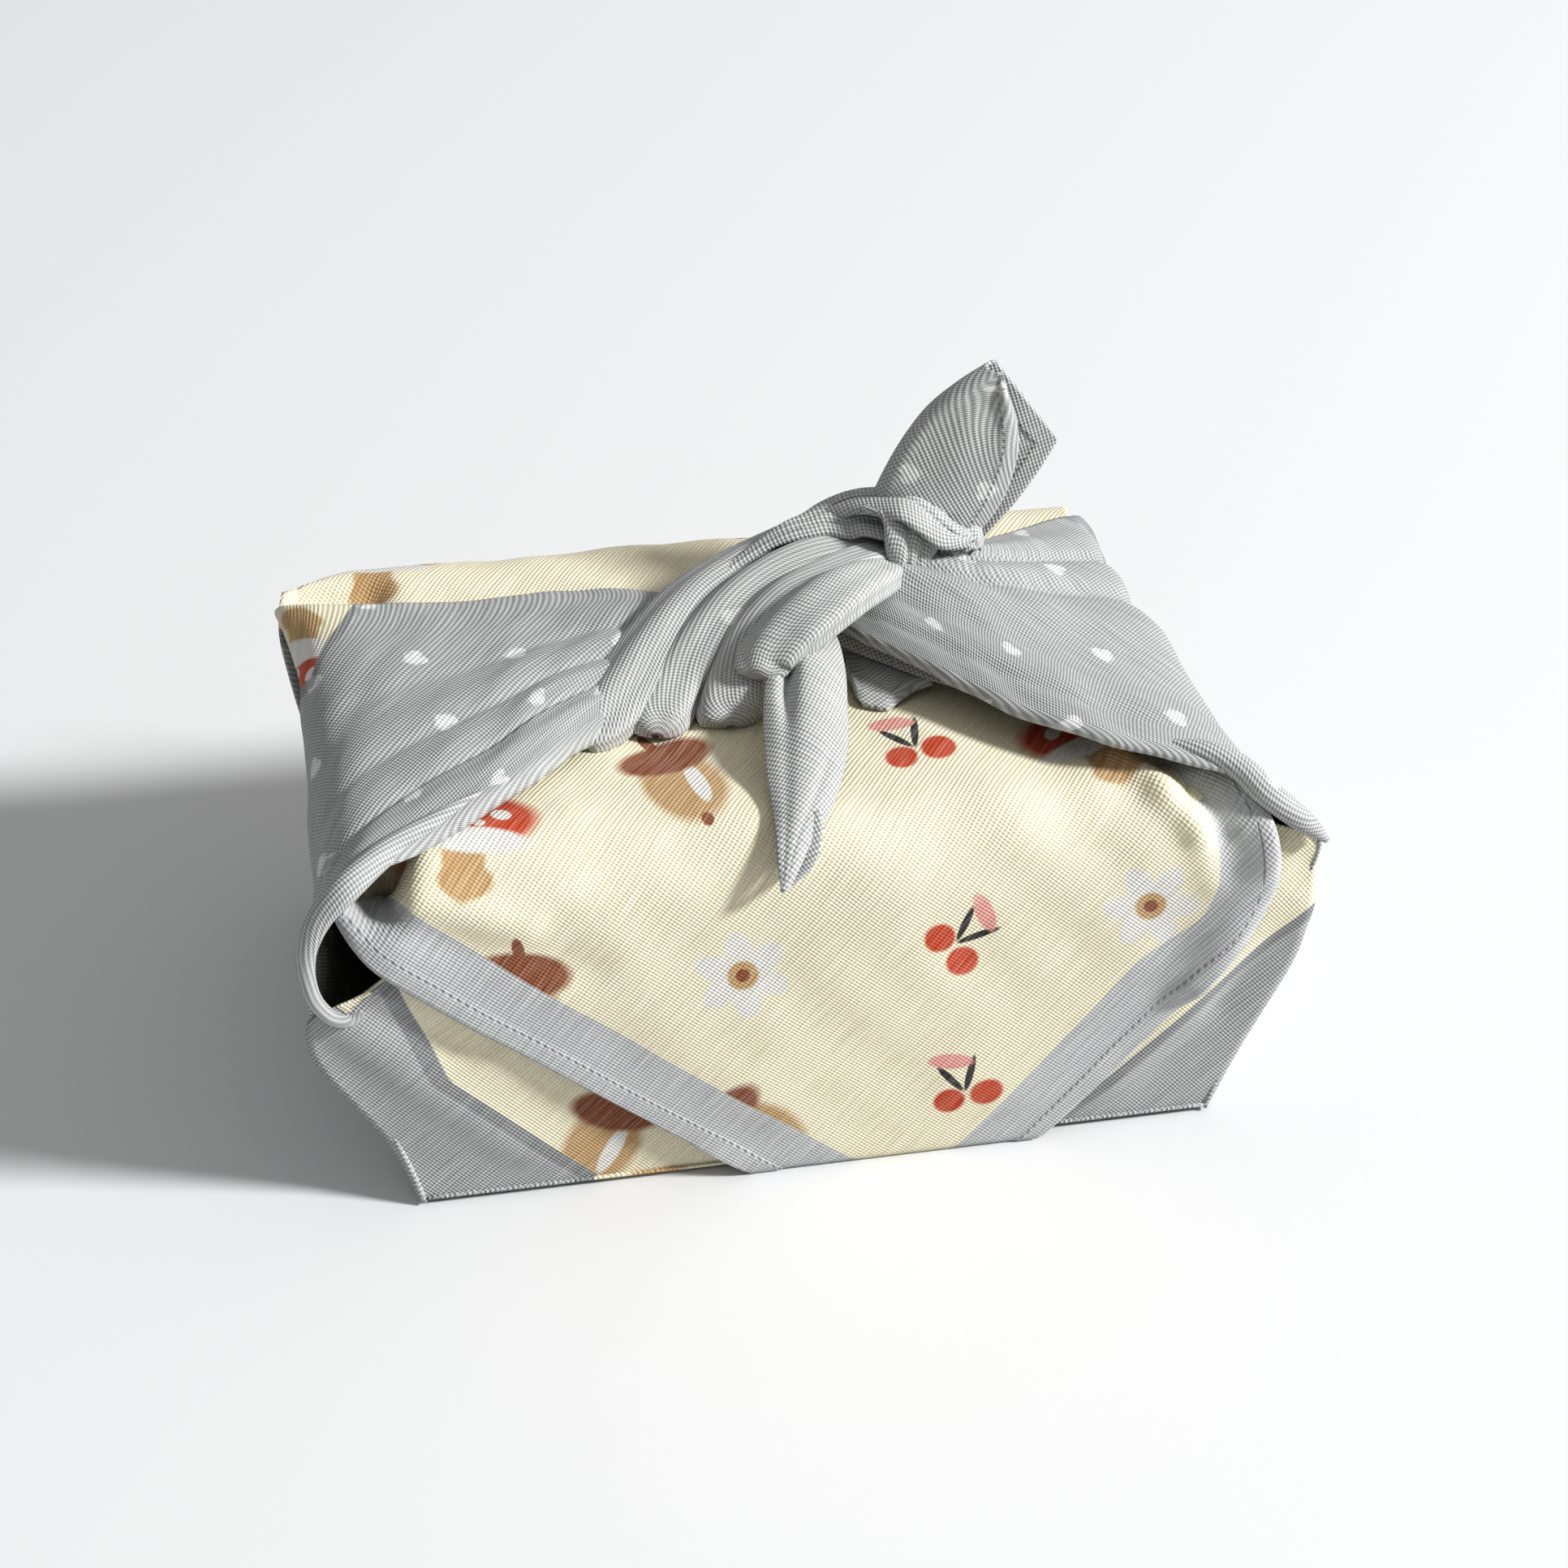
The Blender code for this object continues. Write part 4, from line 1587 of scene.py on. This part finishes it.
def scattered(
    make: Nodes, place: object, pitch: float, spread: float, shift: float = 0.0
) -> tuple[bpy.types.NodeSocket, ...]:
    """Puts one middle in each square cell of the cloth, moved by the cell's noise.

    Args:
        make: the group's node maker.
        place: the flat place, in millimetres.
        pitch: a cell's side, in millimetres.
        spread: the share of a cell in which a middle may lie.
        shift: how far all cells are moved along u, in cells.

    Returns:
        The way from the middle across and up, in cells, and two more noises of the cell.
    """
    scaled = make.vector("ADD", make.scale(place, 1 / pitch), (shift, 0.0, 0.0))
    cell = make.vector("FLOOR", scaled)
    noise = make.tree.nodes.new("ShaderNodeTexWhiteNoise")
    noise.noise_dimensions = "3D"
    make.put(noise.inputs["Vector"], cell)
    red, green, blue = make.split(noise.outputs["Color"])
    x, y, _ = make.split(make.vector("SUBTRACT", scaled, cell))
    least = (1 - spread) / 2
    x = make.math("SUBTRACT", x, make.math("MULTIPLY_ADD", red, spread, least))
    y = make.math("SUBTRACT", y, make.math("MULTIPLY_ADD", green, spread, least))
    return x, y, blue, noise.outputs["Value"]


def hearts_group(
    pitch: float = 24.0, radius: float = 2.1, spread: float = 0.44, soft: float = 0.12
) -> bpy.types.NodeTree:
    """Scattered hearts: one in each square cell, moved and turned by the cell's noise.

    A heart is where (x^2 + y^2 - 1)^3 - x^2 y^3 is below zero.

    Args:
        pitch: a cell's side, in millimetres.
        radius: a heart's radius, in millimetres.
        spread: the share of a cell in which its middle may lie.
        soft: how soft its edge is.

    Returns:
        The group, which takes the flat place in millimetres and gives a mask.
    """
    tree, make, given, result = new_group("hearts", {"Flat": VECTOR}, {"Mask": FLOAT})
    x, y, blue, _ = scattered(make, given.outputs[0], pitch, spread)
    turn = make.math("MULTIPLY_ADD", blue, 3.0, 0.6)
    c, s = make.math("COSINE", turn), make.math("SINE", turn)
    size = pitch / radius
    across = make.math("MULTIPLY_ADD", x, c, make.math("MULTIPLY", y, s))
    across = make.math("MULTIPLY", across, size)
    up = make.math("SUBTRACT", make.math("MULTIPLY", y, c), make.math("MULTIPLY", x, s))
    up = make.math("MULTIPLY", up, size)
    square = make.math("MULTIPLY", across, across)
    ring = make.math("SUBTRACT", make.math("MULTIPLY_ADD", up, up, square), 1.0)
    cube = make.math("MULTIPLY", make.math("MULTIPLY", ring, ring), ring)
    up_cube = make.math("MULTIPLY", make.math("MULTIPLY", up, up), up)
    heart = make.math("SUBTRACT", cube, make.math("MULTIPLY", square, up_cube))
    make.put(result.inputs[0], make.ramp(heart, soft, -soft))
    return tree


@dataclass(frozen=True)
class PrintColours:
    """The print's colours, as linear values."""

    cream: Colour = (0.91, 0.85, 0.65)
    grey: Colour = (0.64, 0.66, 0.66)
    border: Colour = (0.58, 0.595, 0.60)
    heart: Colour = (0.93, 0.94, 0.93)
    boundary: Colour = (0.30, 0.31, 0.325)
    red: Colour = (0.60, 0.075, 0.012)
    tan: Colour = (0.60, 0.40, 0.20)
    brown: Colour = (0.30, 0.095, 0.03)
    white: Colour = (0.84, 0.82, 0.78)
    black: Colour = (0.02, 0.018, 0.018)
    pink: Colour = (0.83, 0.42, 0.37)
    reverse: Colour = (0.80, 0.81, 0.80)


PRINT = PrintColours()


class Motif(Enum):
    """The generic figures: each is ellipses painted one over the other.

    A row is middle x, middle y, radius x, radius y and turn, in millimetres and
    radians, with its colour.
    """

    MUSHROOM = (
        ((0.4, -5.0, 3.2, 6.6, 0.06), PRINT.tan),
        ((0.2, -8.6, 4.1, 2.6, 0.0), PRINT.tan),
        ((0.0, 1.4, 10.6, 5.6, 0.05), PRINT.red),
        ((0.2, -2.6, 9.2, 2.1, 0.05), PRINT.white),
        ((-5.2, 2.0, 1.6, 1.2, 0.4), PRINT.white),
        ((-0.4, 4.0, 1.9, 1.3, 0.0), PRINT.white),
        ((4.8, 2.4, 1.5, 1.1, -0.5), PRINT.white),
        ((-2.0, 0.2, 0.9, 0.7, 0.0), PRINT.white),
    )
    ACORN = (
        ((0.0, -2.4, 6.2, 8.4, 0.0), PRINT.tan),
        ((-2.0, -3.0, 1.4, 5.0, 0.1), PRINT.white),
        ((0.0, 4.6, 7.6, 3.8, 0.0), PRINT.brown),
        ((0.8, 9.0, 0.9, 2.3, -0.3), PRINT.brown),
        ((0.0, -10.8, 0.9, 1.1, 0.0), PRINT.brown),
    )
    DAISY = (
        ((4.2, 0.0, 3.4, 2.1, 0.0), PRINT.white),
        ((2.1, 3.6, 3.4, 2.1, 1.047), PRINT.white),
        ((-2.1, 3.6, 3.4, 2.1, 2.094), PRINT.white),
        ((-4.2, 0.0, 3.4, 2.1, 3.142), PRINT.white),
        ((-2.1, -3.6, 3.4, 2.1, 4.189), PRINT.white),
        ((2.1, -3.6, 3.4, 2.1, 5.236), PRINT.white),
        ((0.0, 0.0, 2.4, 2.4, 0.0), PRINT.tan),
        ((0.0, 0.0, 1.1, 1.1, 0.0), PRINT.brown),
    )
    BERRIES = (
        ((-3.0, -1.2, 2.7, 2.5, 0.0), PRINT.red),
        ((3.0, -0.4, 2.5, 2.4, 0.0), PRINT.red),
        ((-1.6, 3.6, 0.6, 3.4, 0.5), PRINT.black),
        ((1.6, 3.8, 0.6, 3.2, -0.4), PRINT.black),
        ((0.6, 7.0, 3.6, 1.4, 0.4), PRINT.pink),
    )


def motif_group(motif: Motif) -> bpy.types.NodeTree:
    """Builds one figure from its ellipses.

    Args:
        motif: which figure.

    Returns:
        The group, which takes a place in the figure's own frame and the colour below
        it, and gives the colour with the figure painted on.
    """
    tree, make, given, result = new_group(
        motif.name.lower(), {"Place": VECTOR, "Below": COLOUR}, {"Color": COLOUR}
    )
    x, y, _ = make.split(given.outputs[0])
    colour = given.outputs[1]
    for shape, paint in motif.value:
        colour = make.mix(make.ellipse(x, y, shape), colour, paint)
    make.put(result.inputs[0], colour)
    return tree


def figures_group(
    pitch: float = 47.0, size: float = 1.45, spread: float = 0.2, shift: float = 0.25
) -> bpy.types.NodeTree:
    """Lays one figure in each square cell of the cloth, moved, turned and picked by noise.

    Args:
        pitch: a cell's side, in millimetres.
        size: how much larger a figure is than its table.
        spread: the share of a cell in which its middle may lie.
        shift: how far all cells are moved along u, in cells.

    Returns:
        The group, which takes the flat place and the colour below it, and gives the
        colour with the figures painted on.
    """
    tree, make, given, result = new_group(
        "figures", {"Flat": VECTOR, "Below": COLOUR}, {"Color": COLOUR}
    )
    x, y, blue, value = scattered(make, given.outputs[0], pitch, spread, shift)
    spin = tree.nodes.new("ShaderNodeVectorRotate")
    spin.rotation_type = "Z_AXIS"
    away = make.join(make.math("MULTIPLY", x, pitch), make.math("MULTIPLY", y, pitch))
    make.put(spin.inputs["Vector"], away)
    make.put(spin.inputs["Angle"], make.math("MULTIPLY_ADD", blue, 1.8, 2.2))
    place = make.scale(spin.outputs[0], 1 / size)
    pick = make.math("MULTIPLY", value, float(len(Motif)))
    colour = given.outputs[1]
    for number, motif in enumerate(Motif):
        painted = make.group(motif_group(motif), Place=place, Below=given.outputs[1])
        at_least = make.math("GREATER_THAN", pick, float(number))
        colour = make.mix(at_least, colour, painted.outputs[0])
    make.put(result.inputs[0], colour)
    return tree


def weave_group(rib: float = 0.94, thread: float = 0.74, wander: float = 0.6) -> bpy.types.NodeTree:
    """Slub weave: ribs across one thread direction, finer threads across the other.

    With a = (u + v) / sqrt 2 and b = (u - v) / sqrt 2, the height is
    sin(2 pi a / rib) plus a smaller sin(2 pi b / thread), and the slub is noise
    stretched along b.

    Args:
        rib: the ribs' pitch, in millimetres.
        thread: the threads' pitch, in millimetres.
        wander: how far a rib strays, in millimetres.

    Returns:
        The group, which takes the flat place and gives height, slub and thread.
    """
    tree, make, given, result = new_group(
        "weave", {"Flat": VECTOR}, {"Height": FLOAT, "Slub": FLOAT, "Thread": FLOAT}
    )
    u, v, _ = make.split(given.outputs[0])
    a = make.math("MULTIPLY", make.math("ADD", u, v), 1 / math.sqrt(2))
    b = make.math("MULTIPLY", make.math("SUBTRACT", u, v), 1 / math.sqrt(2))
    slow = make.join(make.math("MULTIPLY", a, 0.3), make.math("MULTIPLY", b, 0.06))
    a_wavy = make.math("MULTIPLY_ADD", make.noise(slow, 1.0, 1.0), wander, a)
    ribs = make.math("SINE", make.math("MULTIPLY", a_wavy, 2 * math.pi / rib))
    threads = make.math("SINE", make.math("MULTIPLY", b, 2 * math.pi / thread))
    height = make.math("MULTIPLY_ADD", threads, 0.8, ribs)
    streaks = make.join(make.math("MULTIPLY", a, 1.25), make.math("MULTIPLY", b, 0.07))
    slub = make.noise(streaks, 1.0, 3.0)
    make.put(result.inputs[0], height)
    make.put(result.inputs[1], slub)
    both = make.math("MULTIPLY_ADD", threads, 0.5, make.math("MULTIPLY", ribs, 0.5))
    make.put(result.inputs[2], make.math("MULTIPLY_ADD", both, 0.5, 0.5))
    return tree


@dataclass(frozen=True)
class PrintedCotton:
    """The one material of the whole cloth: print, borders, hem stitches and weave.

    Args:
        colours: the print's colours.
        heart_ink: how well the hearts' ink covers.
        line: where the dark line on the quarters' grey side lies, from the boundary.
        line_ink: how well the line's ink covers.
        reverse_ink: how much of the lighter side shows at full tint.
        slubs: the slub noise that starts and ends a streak.
        dark: how dark the cloth is between streaks.
        light: how light a streak is.
        weave: how dark the weave's gaps are on grey cloth.
        weave_pale: how much less they are on cream cloth and hearts.
        stitch_ink: how dark a stitch is.
        roughness: how matte the cotton is.
        relief: the depth of the weave, in metres.
    """

    colours: PrintColours
    heart_ink: float = 0.85
    line: Span = (-3.1, -0.1)
    line_ink: float = 0.6
    reverse_ink: float = 0.8
    slubs: Span = (0.32, 0.68)
    dark: float = 0.11
    light: float = 0.16
    weave: float = 0.6
    weave_pale: float = 0.46
    stitch_ink: float = 0.45
    roughness: float = 0.86
    relief: float = 0.00012

    def stitches(self, make: Nodes, flat: bpy.types.NodeSocket, edge: object) -> object:
        """Works out the hem's row of stitches.

        Args:
            make: the material's node maker.
            flat: the flat place.
            edge: the distance to the hem.

        Returns:
            A mask, 1 in a stitch.
        """
        away = make.math("ABSOLUTE", make.math("SUBTRACT", edge, CLOTH.hem - 0.5))
        line = make.ramp(away, 0.42, 0.18)
        u, _, _ = make.split(flat)
        dash = make.math("FRACT", make.math("MULTIPLY", u, 1 / 1.5))
        return make.math("MULTIPLY", line, make.ramp(dash, 0.38, 0.5))

    def material(self) -> bpy.types.Material:
        """Builds the material.

        Returns:
            The material.
        """
        made = bpy.data.materials.new("printed_cotton")
        made.use_nodes = True
        make = Nodes(made.node_tree)
        shader = made.node_tree.nodes["Principled BSDF"]
        data = {}
        for label in ("flat", "edge", "quarter", "tint"):
            node = made.node_tree.nodes.new("ShaderNodeAttribute")
            node.attribute_name = label
            data[label] = node.outputs["Vector" if label == "flat" else "Fac"]
        height, slub, thread = make.group(weave_group(), Flat=data["flat"]).outputs
        colour, pale = self.printed(make, data)
        streak = make.ramp(slub, *self.slubs)
        dark = make.mix(self.dark, colour, (0.0, 0.0, 0.0))
        light = make.mix(self.light, colour, (0.97, 0.96, 0.92))
        colour = make.mix(streak, dark, light)
        contrast = make.math("MULTIPLY_ADD", pale, -self.weave_pale, self.weave)
        woven = make.mix(contrast, colour, (0.0, 0.0, 0.0))
        colour = make.mix(thread, woven, colour)
        stitch = self.stitches(make, data["flat"], data["edge"])
        sewn = make.math("MULTIPLY", stitch, self.stitch_ink)
        make.put(shader.inputs["Base Color"], make.mix(sewn, colour, (0.08, 0.08, 0.09)))
        shader.inputs["Roughness"].default_value = self.roughness
        shader.inputs["Specular IOR Level"].default_value = 0.25
        shader.inputs["Sheen Weight"].default_value = 0.12
        bump = made.node_tree.nodes.new("ShaderNodeBump")
        bump.inputs["Strength"].default_value = 0.55
        bump.inputs["Distance"].default_value = self.relief
        relief = make.math("MULTIPLY_ADD", slub, 1.6, height)
        relief = make.math("SUBTRACT", relief, make.math("MULTIPLY", stitch, 3.0))
        make.put(bump.inputs["Height"], relief)
        make.put(shader.inputs["Normal"], bump.outputs[0])
        return made

    def printed(
        self, make: Nodes, data: dict[str, bpy.types.NodeSocket]
    ) -> tuple[bpy.types.NodeSocket, bpy.types.NodeSocket]:
        """Works out the print: figures and border on cream, hearts and line on grey.

        Args:
            make: the material's node maker.
            data: the cloth's values at a point, by name.

        Returns:
            The printed colour, and a mask of the pale print, on which the weave shows less.
        """
        look = self.colours
        figures = make.group(figures_group(), Flat=data["flat"], Below=(*look.cream, 1.0))
        in_border = make.ramp(data["edge"], CLOTH.border + 0.15, CLOTH.border - 0.15)
        cream = make.mix(in_border, figures.outputs[0], look.border)
        hearts = make.group(hearts_group(), Flat=data["flat"]).outputs[0]
        hearts = make.math("MULTIPLY", hearts, make.ramp(data["edge"], PLAIN - 2, PLAIN - 6))
        grey = make.mix(make.math("MULTIPLY", hearts, self.heart_ink), look.grey, look.heart)
        start, stop = self.line
        line = make.math(
            "MULTIPLY",
            make.ramp(data["quarter"], stop + 0.2, stop - 0.2),
            make.ramp(data["quarter"], start - 0.2, start + 0.2),
        )
        grey = make.mix(make.math("MULTIPLY", line, self.line_ink), grey, look.boundary)
        in_cream = make.ramp(data["quarter"], -0.15, 0.15)
        colour = make.mix(in_cream, grey, cream)
        # mixes in the reverse colour; on the knot's parts part of this lightening is painted light
        reverse = make.math("MULTIPLY", data["tint"], self.reverse_ink)
        pale = make.math("MAXIMUM", make.math("MULTIPLY", hearts, 0.7), in_cream)
        return make.mix(reverse, colour, look.reverse), pale


@dataclass(frozen=True)
class Studio:
    """The pale floor, the key light from the right and the camera of the photo.

    Args:
        floor_half: half the floor's side, in metres.
        floor_colour: its colour.
        key_power: the key light's power, in watts.
        key_size: how wide it is, in metres.
        key_far: how far it stands, in metres.
        key_height: its angle above the floor.
        key_turn: its angle from +X, minus towards the front.
        sky_low: the room's brightness at the horizon.
        sky_high: how much brighter it is overhead.
        lens: focal length, in millimetres.
        place: where the camera stands, in metres.
        pitch: how far it looks down.
        yaw: how far it looks to the right of +Y.
        roll: how far it is tilted.
    """

    floor_half: float = 4.0
    floor_colour: Colour = (0.74, 0.745, 0.75)
    key_power: float = 181.0
    key_size: float = 0.71
    key_far: float = 4.5
    key_height: float = math.radians(36.0)
    key_turn: float = math.radians(-24.0)
    sky_low: float = 0.11
    sky_high: float = 0.34
    lens: float = 74.70
    place: tuple[float, float, float] = (-0.0972, -0.5476, 0.4910)
    pitch: float = math.radians(37.75)
    yaw: float = math.radians(10.18)
    roll: float = math.radians(0.30)

    def floor(self) -> bpy.types.Object:
        """Builds the floor.

        Returns:
            The floor.
        """
        half = self.floor_half
        corners = [(-half, -half, 0), (half, -half, 0), (half, half, 0), (-half, half, 0)]
        mesh = bpy.data.meshes.new("floor")
        mesh.from_pydata(corners, [], [(0, 1, 2, 3)])
        made = bpy.data.objects.new("floor", mesh)
        bpy.context.scene.collection.objects.link(made)
        material = bpy.data.materials.new("pale_floor")
        material.use_nodes = True
        shader = material.node_tree.nodes["Principled BSDF"]
        shader.inputs["Base Color"].default_value = (*self.floor_colour, 1.0)
        shader.inputs["Roughness"].default_value = 0.9
        shader.inputs["Specular IOR Level"].default_value = 0.1
        mesh.materials.append(material)
        return made

    def lights(self) -> None:
        """Adds the key light and the room, brighter overhead, shown with a contrasty curve."""
        lamp = bpy.data.lights.new("key", "AREA")
        lamp.shape = "DISK"
        lamp.energy = self.key_power
        lamp.size = self.key_size
        key = bpy.data.objects.new("key", lamp)
        flat = math.cos(self.key_height)
        away = Vector(
            (
                flat * math.cos(self.key_turn),
                flat * math.sin(self.key_turn),
                math.sin(self.key_height),
            )
        )
        key.location = away * self.key_far
        key.rotation_euler = (-away).to_track_quat("-Z", "Y").to_euler()
        bpy.context.scene.collection.objects.link(key)
        world = bpy.data.worlds.new("room")
        bpy.context.scene.world = world
        world.use_nodes = True
        make = Nodes(world.node_tree)
        background = world.node_tree.nodes["Background"]
        background.inputs[0].default_value = (1.0, 1.0, 1.0, 1.0)
        way = world.node_tree.nodes.new("ShaderNodeTexCoord")
        _, _, up = make.split(way.outputs["Generated"])
        up = make.math("MAXIMUM", up, 0.0)
        make.put(background.inputs[1], make.math("MULTIPLY_ADD", up, self.sky_high, self.sky_low))
        bpy.context.scene.view_settings.view_transform = "Standard"
        bpy.context.scene.view_settings.look = "High Contrast"

    def camera(self) -> None:
        """Puts the camera at the photo's place."""
        forward = Vector(
            (
                math.sin(self.yaw) * math.cos(self.pitch),
                math.cos(self.yaw) * math.cos(self.pitch),
                -math.sin(self.pitch),
            )
        )
        right = Vector((math.cos(self.yaw), -math.sin(self.yaw), 0))
        up = right.cross(forward)
        across = right * math.cos(self.roll) + up * math.sin(self.roll)
        upright = up * math.cos(self.roll) - right * math.sin(self.roll)
        lens = bpy.data.cameras.new("camera")
        lens.lens = self.lens
        lens.sensor_width = 36.0
        lens.clip_start = 0.01
        made = bpy.data.objects.new("camera", lens)
        turned = Matrix((across, upright, -forward)).transposed().to_4x4()
        turned.translation = Vector(self.place)
        made.matrix_world = turned
        bpy.context.scene.collection.objects.link(made)
        bpy.context.scene.camera = made


def cloth_parts() -> list[ClothPart]:
    """Lists every part of the cloth.

    Returns:
        The parts, from the base to the knot.
    """
    return [
        Base(),
        NearPanel(),
        FrontFlap(),
        Wing("left_wing", LEFT_WING_ROWS, LEFT_WING_PLEATS, -1.0, roll=2.5, cream_corner=26.0),
        Wing("right_wing", RIGHT_WING_ROWS, RIGHT_WING_PLEATS, 1.0, roll=1.5),
        Lip("left_ear_lip", LEFT_LIP_ROWS),
        Lip("right_ear_lip", RIGHT_LIP_ROWS),
        *STRIPS,
        *KNOT_FOLDS,
        FrontTail(),
        BackTail(),
    ]


def main() -> None:
    """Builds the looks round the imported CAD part."""
    logging.basicConfig(level=logging.INFO, format="%(message)s")
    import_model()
    material = PrintedCotton(PRINT).material()
    for part in cloth_parts():
        part.build(material)
    studio = Studio()
    studio.floor()
    studio.lights()
    studio.camera()


if __name__ == "__main__":
    main()
